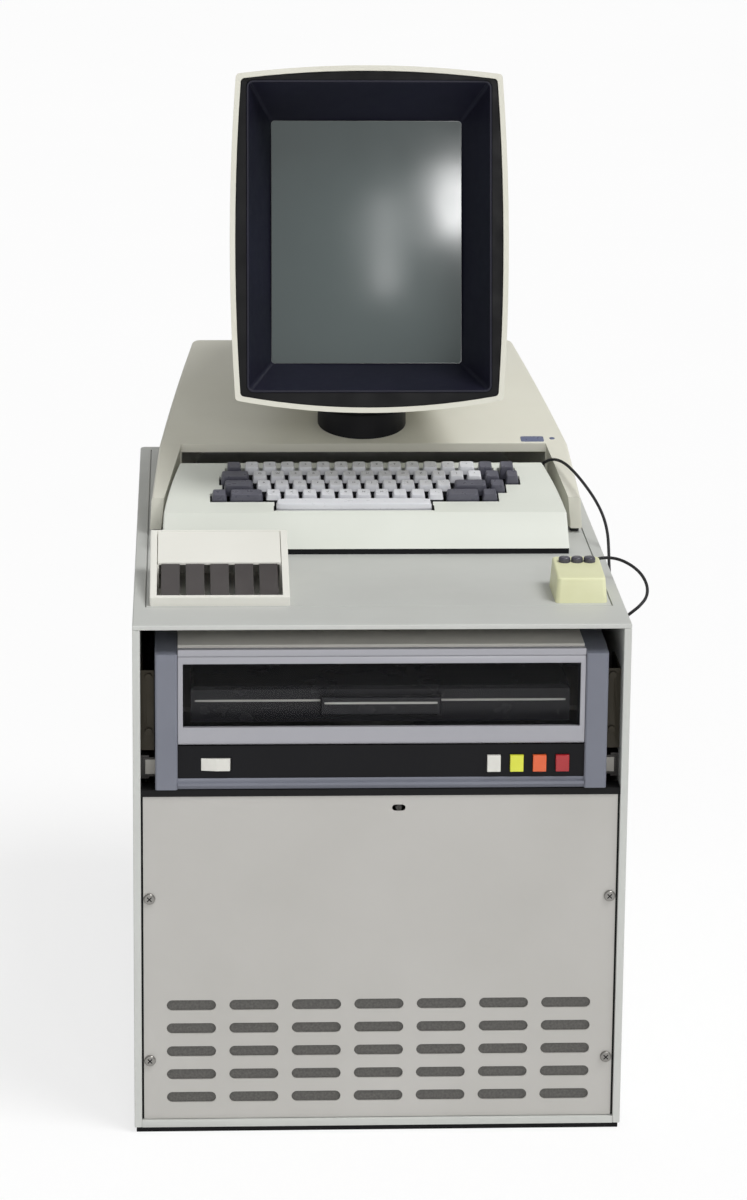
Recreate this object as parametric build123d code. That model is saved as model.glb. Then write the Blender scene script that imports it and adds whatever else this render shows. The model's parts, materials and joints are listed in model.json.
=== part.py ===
# Vintage personal computer: a floor cabinet with a pull-out disk drive, a display base with a
# swivelling portrait monitor, a keyboard, a five paddle chord keyset and a three button mouse.
# Frame: +X to the viewer's right, +Y towards the back, +Z up, millimetres.
# The origin is on the floor, under the middle of the cabinet.
from build123d import *
import math
import os

os.makedirs("parts", exist_ok=True)

# Clearances and cuts shared by the whole machine
overrun = 8.0            # how far a cutting solid runs past the face that it opens
running_gap = 0.06       # radial clearance of a pin or shaft in its bore
free_gap = 0.3           # clearance between faces that pass each other
sheet = 2.0              # sheet metal of panels and covers
crown_share = 0.7        # rounding of a screw head, of its height

# Cabinet
cabinet_width = 490.0
cabinet_depth = 762.0
cabinet_height = 530.0
side_wall = 7.5
side_corner = 6.0        # rounding of the side panels' rear edges
plinth_height = 5.4
plinth_inset = 2.0
plinth_wall = 12.0
rail_height = 7.6        # front rail above the plinth
rail_depth = 9.0
floor_sheet = 3.0
top_thickness = 5.0
lid_thickness = 2.5
lid_ledge = 8.0
lid_groove = 1.2         # open groove all round the lid
top_strip_front = 67.0   # strip of the top in front of the lid
top_strip_side = 12.0
top_strip_rear = 14.0
top_edge = 1.5           # rounding of the top's outer edges

# Lower front panel
panel_side_gap = 2.2
panel_recess = 3.0       # its face lies this far behind the cabinet's front
panel_flange = 12.0
slot_length_share = 0.10476   # of the panel's width
slot_height = 11.2
slot_columns = 7
slot_rows = 5
slot_pitch_share = 0.13302
slot_pitch_z = 24.5
slot_lowest = 36.5       # height of the lowest row's centre
latch_hole_length = 13.3
latch_hole_height = 6.6
latch_hole_x = 17.7
latch_below_edge = 12.7  # latch centre below the panel's top edge
latch_stud_radius = 2.9
latch_slot = 1.0
latch_cam_reach = 12.0
latch_cam_width = 7.0
latch_cam_thickness = 3.0
keeper_width = 20.0
keeper_drop = 6.5
keeper_thickness = 1.5
screw_inset = 6.0        # screw centre in from the panel's side edge
screw_heights = (247.4, 76.2)
screw_head_radius = 5.75
screw_head_height = 2.6
screw_shank_radius = 2.5
screw_length = 12.0
mesh_thickness = 1.0
mesh_border = 14.0

# Frame and rear of the cabinet
upright_width = 20.0
upright_thickness = 3.0
cross_rail_height = 6.8
cross_rail_depth = 26.0
cross_rail_setback = 2.0
rear_recess = 12.0
rear_slot_rows = 6
rear_slot_columns = 3
rear_slot_length = 70.0
rear_slot_height = 8.0
rear_slot_pitch_x = 92.0
rear_slot_pitch_z = 20.0
rear_slot_drop = 200.0   # lowest row of slots below the cabinet's top
inlet_width = 30.0
inlet_height = 24.0
inlet_depth = 26.0
inlet_wall = 3.0
inlet_side = 87.5        # from the inner side wall to the inlet's middle
inlet_z = 70.0
inlet_pin_width = 2.0
inlet_pin_height = 6.0
inlet_pin_length = 14.0
inlet_pin_pitch = 7.0

# Electronics inside the cabinet
cage_width_share = 0.5263     # of the inside width
cage_depth = 330.0
cage_headroom = 72.6     # from the cage's top to the drive
cage_left = 25.0         # from the left side panel
cage_setback = 120.0     # from the cabinet's front
cage_plate = 2.0
cage_lip = 14.0
board_count = 12
board_thickness = 1.6
board_front_inset = 6.0
chip_rows = 4
chip_height = 34.0
chip_depth = 200.0
chip_thickness = 4.0
supply_width_share = 0.3158
supply_depth = 380.0
supply_height = 200.0
supply_right = 14.0
supply_setback = 130.0
supply_fin_thickness = 3.0
supply_fin_height = 14.0
supply_fins = 9
fan_size = 120.0
fan_depth = 38.0
fan_bore_radius = 57.0
fan_hub_radius = 24.0
fan_hub_depth = 20.0
fan_blade_radius = 54.0
fan_blades = 7
fan_blade_thickness = 2.0
fan_blade_depth = 16.0
fan_blade_lean = 35.0    # degrees
fan_stub_radius = 5.0
fan_spoke = 6.0
fan_spokes = 4
fan_lift = 48.0          # fan frame above the floor sheet

# Disk drive, carried on slides
drive_side_gap = 14.5    # from a side panel to the drive
drive_setback = 1.0      # bar faces behind the cabinet's front
drive_drop = 169.0       # the drive's underside is this far below the cabinet's top
drive_height = 143.0
drive_depth = 640.0
bar_width = 22.0
bar_depth = 80.0
bar_drop = 4.5           # bar fronts end this far below the drive's top
bar_nose = 35.0          # length of the bars' sloping top
bar_rise = 2.5
bar_edge = 1.5
trim_height = 11.0
trim_depth = 12.0
trim_step_depth = 3.0
trim_step_height = 4.0
control_height = 33.5
control_thickness = 3.0
control_recess = 4.0
door_depth = 8.0
door_recess = 2.0
door_gap = 0.8
door_upper_rail = 14.5
door_lower_rail = 18.4
door_side_rail = 5.0
door_groove = 1.0
door_pin_radius = 2.0
door_pin_length = 4.0
pane_thickness = 3.0
pane_rebate = 2.5
top_plate = 4.0
top_plate_setback = 20.0
chassis_sheet = 2.5
rocker_length = 29.4
rocker_height = 12.5
rocker_depth = 9.0
rocker_inset = 23.3      # from the bar to the rocker
rocker_pivot_radius = 1.5
rocker_pivot_reach = 2.0
rocker_ridge = 2.4       # the ridge between its two facets stands this proud
rocker_relief = 1.2      # its raised end leans inwards by this towards the front
rocker_angle = 8.0
cap_count = 4
cap_width = 13.4
cap_height = 17.0
cap_pitch = 22.65
cap_inset = 21.7         # from the bar to the last cap's centre
cap_proud = 3.6
cap_depth = 14.0
cap_edge = 1.0
cap_drop = 2.5           # cap centres below the control panel's centre
button_travel = 2.0
cartridge_side = 35.0    # from the drive's side to the cartridge
cartridge_thickness = 36.0
cartridge_lift = 61.0    # above the drive's bottom
cartridge_setback = 30.0
cartridge_edge = 3.0
cartridge_grip_width = 120.0
cartridge_grip_depth = 10.0
cartridge_grip_height = 8.0
cartridge_hub_radius = 34.0
cartridge_hub_depth = 4.0
spindle_radius = 15.0
spindle_flange_radius = 32.0
spindle_flange = 6.0
spindle_cone_radius = 20.0
spindle_boss_radius = 45.0
spindle_boss_height = 30.0
ledge_width = 44.0
ledge_thickness = 5.0

# Slides
slide_height = 24.0
slide_lift = 17.0        # slide centre above the drive's bottom
slide_wall = 2.0
slide_setback = 24.0
slide_length = 560.0
fixed_rail_reach = 8.0
middle_rail_reach = 11.2
bracket_width = 13.4
bracket_height = 82.0
bracket_lift = 35.0      # above the drive's bottom
bracket_setback = 22.0
bracket_leg = 60.0
bracket_sheet = 2.2
bolt_radius = 3.6
bolt_head = 2.4
bolt_inset = 13.0
bolt_side_inset = 8.0

# Display base: plan places are measured back from the cabinet's front, heights from its top
base_front = 356.0
base_lip = 430.0
base_rear = 750.0
base_foot = 5.0
base_front_side = 14.4   # from the cabinet's side to the hood at its front, middle and rear
base_middle_side = 32.5
base_rear_side = 55.5
base_arm_height = 38.0
base_lip_height = 81.0
base_rear_height = 132.5
base_draft = 3.0         # degrees
base_corner = 16.0
base_edge = 3.0
lip_thickness = 9.5
arm_front_side = 25.5    # from the cabinet's side to the arms' inner faces
arm_lip_side = 42.0
arm_draft = 5.0          # degrees
bay_front_side = 48.0    # from the cabinet's side to the bay's walls
bay_middle_side = 55.0
bay_rear_side = 79.0
bay_rear_wall = 8.0
foot_radius = 5.0
foot_front_inset = 12.0
foot_rear_inset = 30.0
foot_side_inset = 7.0
pedestal_radius = 48.2
pedestal_setback = 490.0
pedestal_top = 111.0
pedestal_edge = 4.0
spigot_radius = 20.0
spigot_depth = 11.0
neck_flange_radius = 32.0
neck_flange = 7.0
tilt_axis_height = 130.0
tongue_half = 16.0
tongue_radius = 11.0
tilt_pin_radius = 5.0
tilt_pin_reach = 27.0
ear_thickness = 8.0
ear_radius = 11.0
ear_top = 24.0

# Monitor, in its own frame: the origin is the middle of the front rim
monitor_setback = 345.0
monitor_lift = 320.0     # above the cabinet's top
monitor_lean = 12.0      # degrees, leaning back as photographed
rim_top_half = 139.4
rim_bottom_half = 140.4
rim_side_half = 146.0
rim_corner_top = 172.8
rim_top = 181.8
rim_corner_bottom = 168.0
rim_bottom = 181.2
rim_corner = 4.5
rim_wall = 5.5
rim_depth = 14.0
housing_depth = 330.0
housing_rear_share = 0.56
housing_wall = 4.0
back_thickness = 3.0
back_slots = 6
back_slot_length = 90.0
back_slot_height = 5.0
back_slot_pitch = 16.0
lip_half = 126.0
lip_top = 164.0
lip_bottom = 157.3
lip_corner = 5.0
lip_wall = 2.4
lip_rise = 1.5
bezel_recess = 4.0
bezel_plate = 3.0
recess_depth = 68.0
screen_half = 101.0
screen_half_height = 128.6
screen_corner = 3.5
screen_middle = 0.6      # its centre is this far below the rim's
glass_border = 7.0
glass_thickness = 16.0
glass_bow = 7.0
funnel_depth = 120.0
neck_radius = 14.5
neck_length = 80.0
yoke_radius = 44.0
yoke_length = 40.0

# Keyboard
keyboard_x = -4.0
keyboard_front = 268.0
keyboard_crease = 293.0
keyboard_rear = 402.0
keyboard_front_side = 31.6    # from the cabinet's side to the keyboard's sides, which curve inwards
keyboard_middle_side = 38.0
keyboard_rear_side = 50.0
keyboard_base_height = 6.0
keyboard_crease_height = 39.0
keyboard_rear_height = 66.3
keyboard_corner = 5.0
keyboard_edge = 2.0
keyboard_wall = 3.5
keyboard_base_inset = 1.0
key_pitch = 19.05        # between rows
key_pitch_share = 0.097692    # key pitch along a row, of the keyboard's rear half width
key_top_width = 12.8
key_top_depth = 13.4
key_gap = 0.9
key_rise = 6.0           # the space bar's top above the deck
key_step = 1.0           # each row further back stands this much higher
key_skirt = 4.5          # the caps reach this far below the deck
key_shoulder = 1.0       # they narrow from here upwards
key_dish = 0.8
key_well_gap = 0.7
key_bridge_share = 0.16  # gaps between keys narrower than this share of the pitch stay open
key_travel = 3.8
key_stem = 5.0
key_plate_drop = 12.0
key_plate = 2.0
key_plate_margin = 6.0
space_row = 14.5         # crease to the space bar's middle, along the deck
plate_post = 8.0

# Keyset
keyset_side = 16.5       # from the cabinet's side
keyset_width = 139.5
keyset_front = 70.0
keyset_depth = 128.0
keyset_front_height = 9.0
keyset_rear_height = 46.0
keyset_wall = 7.0
keyset_floor = 1.0
keyset_cover_back = 65.0    # from the keyset's front to the cover
keyset_cover_gap = 0.7
keyset_cover_thickness = 3.0
keyset_seat = 2.0           # ribs under the cover's sides
keyset_edge = 1.5
paddle_count = 5
paddle_width = 18.6
paddle_pitch = 24.6
paddle_thickness = 3.5
paddle_drop = 0.8
paddle_front_gap = 1.2
paddle_hub_radius = 5.0
keyset_shaft_radius = 2.0
keyset_shaft_back = 95.0
keyset_shaft_drop = 15.0

# Mouse
mouse_side = 42.5        # from the cabinet's side to the mouse's middle
mouse_front = 76.0
mouse_length = 71.0
mouse_width = 52.4
mouse_crease = 3.5       # the near face leans back by this up to its crease
mouse_front_height = 25.0
mouse_rear_height = 30.0
mouse_draft = 4.5        # degrees
mouse_edge = 2.5
mouse_corner = 5.0
mouse_button_radius = 5.95
mouse_button_pitch = 12.7
mouse_button_back = 54.0
mouse_button_proud = 5.0
mouse_button_edge = 2.0
mouse_button_sunk = 4.0
mouse_button_travel = 1.5
mouse_cord_height = 16.0
mouse_cord_side = 11.0

# Cord between the mouse and the keyboard
cord_radius = 1.6
gland_radius = 3.4
gland_length = 5.0
gland_edge = 1.5
keyboard_cord_side = 61.0     # from the cabinet's side
keyboard_cord_height = 35.0

# Derived places that several pieces share
half_width = cabinet_width / 2
front = -cabinet_depth / 2
rear = cabinet_depth / 2
inner_half = half_width - side_wall
top_under = cabinet_height - top_thickness
floor_top = plinth_height + floor_sheet
rail_top = plinth_height + rail_height
panel_bottom = rail_top + free_gap * 2
panel_half = inner_half - panel_side_gap
slot_length = panel_half * 2 * slot_length_share
slot_pitch_x = panel_half * 2 * slot_pitch_share
drive_bottom = cabinet_height - drive_drop
panel_top = drive_bottom - cross_rail_height - free_gap * 2
panel_face = front + panel_recess
panel_back = panel_face + sheet
rail_bottom = panel_top + free_gap
drive_half = inner_half - drive_side_gap
drive_front = front + drive_setback
drive_back = drive_front + drive_depth
drive_top = drive_bottom + drive_height
bar_back = drive_front + bar_depth
bar_top = drive_top - bar_drop
bay_half = drive_half - bar_width
control_bottom = drive_bottom + trim_height
control_top = control_bottom + control_height
control_face = drive_front + control_recess
control_back = control_face + control_thickness
cap_z = (control_bottom + control_top) / 2 - cap_drop
bulkhead = control_face - cap_proud + cap_depth
door_bottom = control_top + door_gap
door_front = drive_front + door_recess
door_back = door_front + door_depth
door_half = bay_half - free_gap
door_axis_y = (door_front + door_back) / 2
door_axis_z = door_bottom + door_depth / 2
plate_bottom = drive_top - top_plate
cartridge_radius = drive_half - cartridge_side
cartridge_y = drive_front + cartridge_setback + cartridge_radius
cartridge_bottom = drive_bottom + cartridge_lift
boss_top = drive_bottom + chassis_sheet + spindle_boss_height
slide_middle = drive_bottom + slide_lift
slide_front = front + slide_setback
desk = cabinet_height
base_front_half = half_width - base_front_side
base_middle_half = half_width - base_middle_side
base_rear_half = half_width - base_rear_side
arm_inner_front = half_width - arm_front_side
arm_inner_lip = half_width - arm_lip_side
bay_front_half = half_width - bay_front_side
bay_middle_half = half_width - bay_middle_side
bay_rear_half = half_width - bay_rear_side
keyboard_front_half = half_width - keyboard_front_side
keyboard_middle_half = half_width - keyboard_middle_side
keyboard_rear_half = half_width - keyboard_rear_side
key_pitch_x = keyboard_rear_half * key_pitch_share
keyset_left = keyset_side - half_width
mouse_x = half_width - mouse_side
cage_width = inner_half * 2 * cage_width_share
cage_height = drive_bottom - floor_top - cage_headroom
supply_width = inner_half * 2 * supply_width_share
inlet_x = inner_half - inlet_side
cage_x = -inner_half + cage_left
cage_y = front + cage_setback
supply_x = inner_half - supply_right - supply_width / 2
supply_y = front + supply_setback
fan_y = supply_y - fan_depth
fan_z = floor_top + fan_lift + fan_size / 2

made = {}


def keep(name, shape):
    """Remember a finished piece under its node's name."""
    made[name] = shape


def block(x, y, z):
    """A box given by its ranges along the three axes."""
    middle = ((x[0] + x[1]) / 2, (y[0] + y[1]) / 2, (z[0] + z[1]) / 2)
    return Pos(*middle) * Box(abs(x[1] - x[0]), abs(y[1] - y[0]), abs(z[1] - z[0]))


def rod(radius, start, end):
    """A round bar between two points."""
    axis = Vector(*end) - Vector(*start)
    plane = Plane(origin=start, z_dir=axis)
    return plane * Cylinder(radius, axis.length, align=(Align.CENTER, Align.CENTER, Align.MIN))


def side_prism(points, x_low, x_high):
    """A prism along X over an outline of (y, z) points."""
    outline = Plane.YZ.offset(x_low) * make_face(Polyline(*points, close=True))
    return extrude(outline, x_high - x_low)


def end_prism(points, y_low, y_high):
    """A prism along Y over an outline of (x, z) points."""
    outline = Plane.XZ.offset(-y_low) * make_face(Polyline(*points, close=True))
    return extrude(outline, y_low - y_high)


def solids_of(pieces):
    """Several separate solids kept together in one node."""
    solids = []
    for piece in pieces:
        solids.extend(piece.solids())
    return Compound(children=solids)


def mirrored_pair(piece):
    """A piece and its mirror image across the middle plane."""
    return solids_of([piece, mirror(piece, Plane.YZ)])


def slot_grid(columns, rows, pitch_x, pitch_z, middle_x, lowest, length, height, y_low, y_high):
    """Round ended slots through a wall that faces along Y, as one cutting shape."""
    outline = Sketch()
    for column in range(columns):
        for row in range(rows):
            x = middle_x + (column - (columns - 1) / 2) * pitch_x
            outline += Pos(x, lowest + row * pitch_z) * SlotOverall(length, height)
    return extrude(Plane.XZ.offset(-y_low) * outline, y_low - y_high)


# Cabinet shell


def side_panels():
    """Two thick side sheets, rounded at the rear."""
    wall = block((inner_half, half_width), (front, rear), (plinth_height, top_under))
    corner = wall.edges().filter_by(Axis.Z).group_by(Axis.Y)[-1].sort_by(Axis.X)[-1:]
    return mirrored_pair(fillet(corner, side_corner))


def top_rim():
    """The frame of the cabinet's top, with a ledge on which the lid lies."""
    rim = block((-half_width, half_width), (front, rear), (top_under, cabinet_height))
    rim = fillet(rim.edges().filter_by(Axis.Z).group_by(Axis.Y)[-1], side_corner)
    rim = fillet(rim.edges().group_by(Axis.Z)[-1], top_edge)
    x = half_width - top_strip_side
    y_low = front + top_strip_front
    y_high = rear - top_strip_rear
    rim -= block((-x, x), (y_low, y_high), (cabinet_height - lid_thickness, cabinet_height + overrun))
    x -= lid_ledge
    return rim - block((-x, x), (y_low + lid_ledge, y_high - lid_ledge), (top_under - overrun, cabinet_height))


def top_lid():
    """The loose lid between the grooves, on which the display base stands."""
    x = half_width - top_strip_side - lid_groove
    y = (front + top_strip_front + lid_groove, rear - top_strip_rear - lid_groove)
    return block((-x, x), y, (cabinet_height - lid_thickness, cabinet_height))


def rear_panel():
    """The back sheet with its air slots and the hole for the mains inlet."""
    y = rear - rear_recess
    panel = block((-inner_half, inner_half), (y - sheet, y), (floor_top, top_under))
    cut = (y - sheet - overrun, y + overrun)
    panel -= slot_grid(rear_slot_columns, rear_slot_rows, rear_slot_pitch_x, rear_slot_pitch_z, 0,
                       cabinet_height - rear_slot_drop, rear_slot_length, rear_slot_height, *cut)
    x = (inlet_x - inlet_width / 2, inlet_x + inlet_width / 2)
    return panel - block(x, cut, (inlet_z - inlet_height / 2, inlet_z + inlet_height / 2))


def power_inlet():
    """A recessed mains inlet with three blades."""
    y = rear - rear_recess
    low, high = inlet_z - inlet_height / 2, inlet_z + inlet_height / 2
    left, right = inlet_x - inlet_width / 2, inlet_x + inlet_width / 2
    inlet = block((left, right), (y - inlet_depth, y), (low, high))
    inlet += block((left - inlet_wall, right + inlet_wall), (y, y + sheet), (low - inlet_wall, high + inlet_wall))
    floor = y - inlet_depth + inlet_wall
    inlet -= block((left + inlet_wall, right - inlet_wall), (floor, y + overrun),
                   (low + inlet_wall, high - inlet_wall))
    for step in (-1, 0, 1):
        x = inlet_x + step * inlet_pin_pitch
        z = inlet_z + (inlet_pin_height / 2 if step == 0 else 0)
        inlet += block((x - inlet_pin_width / 2, x + inlet_pin_width / 2), (floor, floor + inlet_pin_length),
                       (z - inlet_pin_height / 2, z + inlet_pin_height / 2))
    return inlet


def base_tray():
    """The floor sheet with its front rail, on a dark plinth set in a little."""
    tray = block((-inner_half, inner_half), (front, rear - rear_recess), (plinth_height, floor_top))
    tray += block((-inner_half, inner_half), (front, front + rail_depth), (plinth_height, rail_top))
    x = half_width - plinth_inset
    plinth = block((-x, x), (front + plinth_inset, rear - plinth_inset), (0, plinth_height))
    x -= plinth_wall
    inset = plinth_inset + plinth_wall
    return tray + plinth - block((-x, x), (front + inset, rear - inset), (-overrun, plinth_height))


def cabinet_frame():
    """Two uprights that take the panel's screws, and the cross rail under the drive with its keeper."""
    frame = block((-inner_half, inner_half), (front + cross_rail_setback, front + cross_rail_depth),
                  (rail_bottom, rail_bottom + cross_rail_height))
    keeper = (latch_hole_x - keeper_width / 2, latch_hole_x + keeper_width / 2)
    frame += block(keeper, (panel_back, panel_back + keeper_thickness), (rail_bottom - keeper_drop, rail_bottom))
    for side in (-1, 1):
        x = (side * inner_half, side * (inner_half - upright_width))
        frame += block(x, (panel_back, panel_back + upright_thickness), (rail_top, rail_bottom))
        for z in screw_heights:
            x_screw = side * (panel_half - screw_inset)
            frame -= rod(screw_shank_radius + running_gap, (x_screw, front, z), (x_screw, panel_back + overrun, z))
    return frame


def lower_panel():
    """The folded front panel with its rows of air slots, screw holes and latch hole."""
    panel = block((-panel_half, panel_half), (panel_face, panel_back), (panel_bottom, panel_top))
    flange_half = inner_half - upright_width - free_gap
    for side in (-1, 1):
        x = (side * flange_half, side * (flange_half - sheet))
        panel += block(x, (panel_back, panel_back + panel_flange), (panel_bottom, panel_top - sheet))
    panel += block((-flange_half, flange_half), (panel_back, panel_back + panel_flange),
                   (panel_bottom, panel_bottom + sheet))
    cut = (panel_face - overrun, panel_back + overrun)
    panel -= slot_grid(slot_columns, slot_rows, slot_pitch_x, slot_pitch_z, 0, slot_lowest,
                       slot_length, slot_height, *cut)
    panel -= slot_grid(1, 1, 0, 0, latch_hole_x, panel_top - latch_below_edge,
                       latch_hole_length, latch_hole_height, *cut)
    for side in (-1, 1):
        for z in screw_heights:
            x = side * (panel_half - screw_inset)
            panel -= rod(screw_shank_radius + free_gap, (x, cut[0], z), (x, cut[1], z))
    return panel


def panel_screws():
    """Four pan head screws that hold the lower panel to the uprights."""
    screws = []
    for side in (-1, 1):
        for z in screw_heights:
            x = side * (panel_half - screw_inset)
            head = rod(screw_head_radius, (x, panel_face, z), (x, panel_face - screw_head_height, z))
            head = fillet(head.edges().group_by(Axis.Y)[0], screw_head_height * crown_share)
            screws.append(head + rod(screw_shank_radius, (x, panel_face, z), (x, panel_face + screw_length, z)))
    return solids_of(screws)


def panel_latch():
    """The quarter turn latch in the oblong hole: a slotted stud with a cam behind the keeper."""
    x = latch_hole_x
    z = panel_top - latch_below_edge
    cam_face = panel_back + keeper_thickness + free_gap
    cam_back = cam_face + latch_cam_thickness
    latch = rod(latch_stud_radius, (x, panel_face + free_gap, z), (x, cam_back, z))
    latch -= block((x - latch_slot / 2, x + latch_slot / 2), (panel_face - overrun, panel_face + latch_slot),
                   (z - overrun, z + overrun))
    half = latch_cam_width / 2
    latch += rod(half, (x, cam_face, z), (x, cam_back, z))
    return latch + block((x - half, x + half), (cam_face, cam_back), (z, z + latch_cam_reach))


def vent_mesh():
    """The dark screen behind the air slots, on the inside of the panel."""
    reach = (slot_columns - 1) / 2 * slot_pitch_x + slot_length / 2 + mesh_border
    reach = min(reach, inner_half - upright_width - sheet - free_gap * 2)
    low = panel_bottom + sheet + free_gap
    high = slot_lowest + (slot_rows - 1) * slot_pitch_z + slot_height / 2 + mesh_border
    return block((-reach, reach), (panel_back, panel_back + mesh_thickness), (low, high))


# Electronics


def card_cage():
    """An open box with a floor, a top and sides with air openings, and a backplane."""
    x = (cage_x, cage_x + cage_width)
    y = (cage_y, cage_y + cage_depth)
    z = (floor_top, floor_top + cage_height)
    cage = block(x, y, z)
    cage -= block((x[0] + cage_plate, x[1] - cage_plate), (y[0] - overrun, y[1] - cage_plate),
                  (z[0] + cage_plate, z[1] - cage_plate))
    depth = (y[0] + cage_lip, y[1] - cage_lip)
    cage -= block((x[0] + cage_lip, x[1] - cage_lip), depth, (z[1] - cage_plate - overrun, z[1] + overrun))
    return cage - block((x[0] - overrun, x[1] + overrun), depth, (z[0] + cage_lip * 2, z[1] - cage_lip * 2))


def circuit_boards():
    """A row of upright boards, each with four rows of chips, standing in the card cage."""
    boards = []
    pitch = (cage_width - cage_plate * 2) / board_count
    low = floor_top + cage_plate
    high = low + cage_height - cage_plate * 2
    y = (cage_y + board_front_inset, cage_y + cage_depth - cage_plate)
    middle = (y[0] + y[1]) / 2
    for index in range(board_count):
        x = cage_x + cage_plate + pitch * (index + 1 / 2)
        board = block((x, x + board_thickness), y, (low, high))
        for row in range(chip_rows):
            z = low + (high - low) * (row + 1 / 2) / chip_rows
            board += block((x - chip_thickness, x), (middle - chip_depth / 2, middle + chip_depth / 2),
                           (z - chip_height / 2, z + chip_height / 2))
        boards.append(board)
    return solids_of(boards)


def power_supply():
    """A closed supply with cooling fins along its top."""
    x = (supply_x - supply_width / 2, supply_x + supply_width / 2)
    y = (supply_y, supply_y + supply_depth)
    high = floor_top + supply_height
    supply = block(x, y, (floor_top, high))
    pitch = (supply_width - supply_fin_thickness) / (supply_fins - 1)
    for index in range(supply_fins):
        left = x[0] + pitch * index
        supply += block((left, left + supply_fin_thickness), y, (high, high + supply_fin_height))
    return supply


def fan_frame():
    """A square fan frame on the supply's face, with four spokes that carry the bearing stub."""
    half = fan_size / 2
    y = (fan_y, supply_y)
    frame = block((supply_x - half, supply_x + half), y, (fan_z - half, fan_z + half))
    frame -= rod(fan_bore_radius, (supply_x, y[0] - overrun, fan_z), (supply_x, y[1] + overrun, fan_z))
    spoke_front = supply_y - fan_spoke
    for index in range(fan_spokes):
        spoke = block((0, fan_bore_radius + running_gap), (spoke_front, supply_y), (-fan_spoke / 2, fan_spoke / 2))
        frame += Pos(supply_x, 0, fan_z) * Rot(Y=360 / fan_spokes * (index + 1 / 2)) * spoke
    hub = rod(fan_hub_radius, (supply_x, spoke_front, fan_z), (supply_x, supply_y, fan_z))
    stub = rod(fan_stub_radius, (supply_x, spoke_front - fan_hub_depth / 2, fan_z), (supply_x, spoke_front, fan_z))
    return frame + hub + stub


def fan_rotor():
    """A hub with leaning blades that turns on the frame's stub."""
    back = supply_y - fan_spoke - free_gap
    face = back - fan_hub_depth
    rotor = rod(fan_hub_radius, (supply_x, face, fan_z), (supply_x, back, fan_z))
    middle = (face + back) / 2
    for index in range(fan_blades):
        blade = Box(fan_blade_radius - fan_hub_radius / 2, fan_blade_depth, fan_blade_thickness,
                    align=(Align.MIN, Align.CENTER, Align.CENTER))
        blade = Pos(fan_hub_radius / 2, 0, 0) * Rot(X=fan_blade_lean) * blade
        rotor += Pos(supply_x, middle, fan_z) * Rot(Y=360 / fan_blades * index) * blade
    return rotor - rod(fan_stub_radius + running_gap, (supply_x, middle - free_gap, fan_z), (supply_x, back, fan_z))


# Slides and disk drive


def rail_channel(outer, reach, height, y_low, y_high):
    """A channel with its web outwards; outer is the web's outer face."""
    x = (outer - reach, outer)
    z = (slide_middle - height / 2, slide_middle + height / 2)
    rail = block(x, (y_low, y_high), z)
    return rail - block((x[0] - overrun, outer - slide_wall), (y_low - overrun, y_high + overrun),
                        (z[0] + slide_wall, z[1] - slide_wall))


middle_rail_outer = inner_half - slide_wall - free_gap
middle_rail_height = slide_height - slide_wall * 2 - free_gap * 2
inner_rail_outer = middle_rail_outer - slide_wall - free_gap
inner_rail_height = middle_rail_height - slide_wall * 2 - free_gap * 2


def fixed_slide_rails():
    """The outer channels of the slides, on the side panels."""
    rail = rail_channel(inner_half, fixed_rail_reach, slide_height, slide_front, slide_front + slide_length)
    return mirrored_pair(rail)


def moving_slide_rails():
    """The middle channels, which travel half as far as the drive."""
    rail = rail_channel(middle_rail_outer, middle_rail_reach, middle_rail_height,
                        slide_front, slide_front + slide_length)
    return mirrored_pair(rail)


def slide_brackets():
    """Angle brackets on the side panels beside the drive, each with two bolts."""
    low = drive_bottom + bracket_lift
    high = low + bracket_height
    y = front + bracket_setback
    bracket = block((inner_half - bracket_width, inner_half), (y, y + bracket_sheet), (low, high))
    bracket += block((inner_half - bracket_sheet, inner_half), (y, y + bracket_leg), (low, high))
    for z in (low + bolt_inset * 3 / 2, high - bolt_inset / 2):
        x = inner_half - bolt_side_inset
        bracket += rod(bolt_radius, (x, y, z), (x, y - bolt_head, z))
    return mirrored_pair(bracket)


def drive_bezel():
    """Two upright bars with sloping tops, joined by the stepped trim under the control panel."""
    profile = ((drive_front, drive_bottom), (drive_front, bar_top), (drive_front + bar_nose, bar_top + bar_rise),
               (bar_back, bar_top + bar_rise), (bar_back, drive_bottom))
    bar = side_prism(profile, bay_half, drive_half)
    bar = chamfer(bar.edges().filter_by(Axis.Z).group_by(Axis.Y)[0], bar_edge)
    bar -= rod(door_pin_radius + running_gap, (bay_half - overrun, door_axis_y, door_axis_z),
               (bay_half + door_pin_length + free_gap, door_axis_y, door_axis_z))
    trim = block((-bay_half, bay_half), (drive_front + trim_step_depth, drive_front + trim_depth),
                 (drive_bottom, drive_bottom + trim_height))
    trim += block((-bay_half, bay_half), (drive_front, drive_front + trim_depth),
                  (drive_bottom + trim_step_height, drive_bottom + trim_height - trim_step_height))
    return bar + mirror(bar, Plane.YZ) + trim


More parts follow.
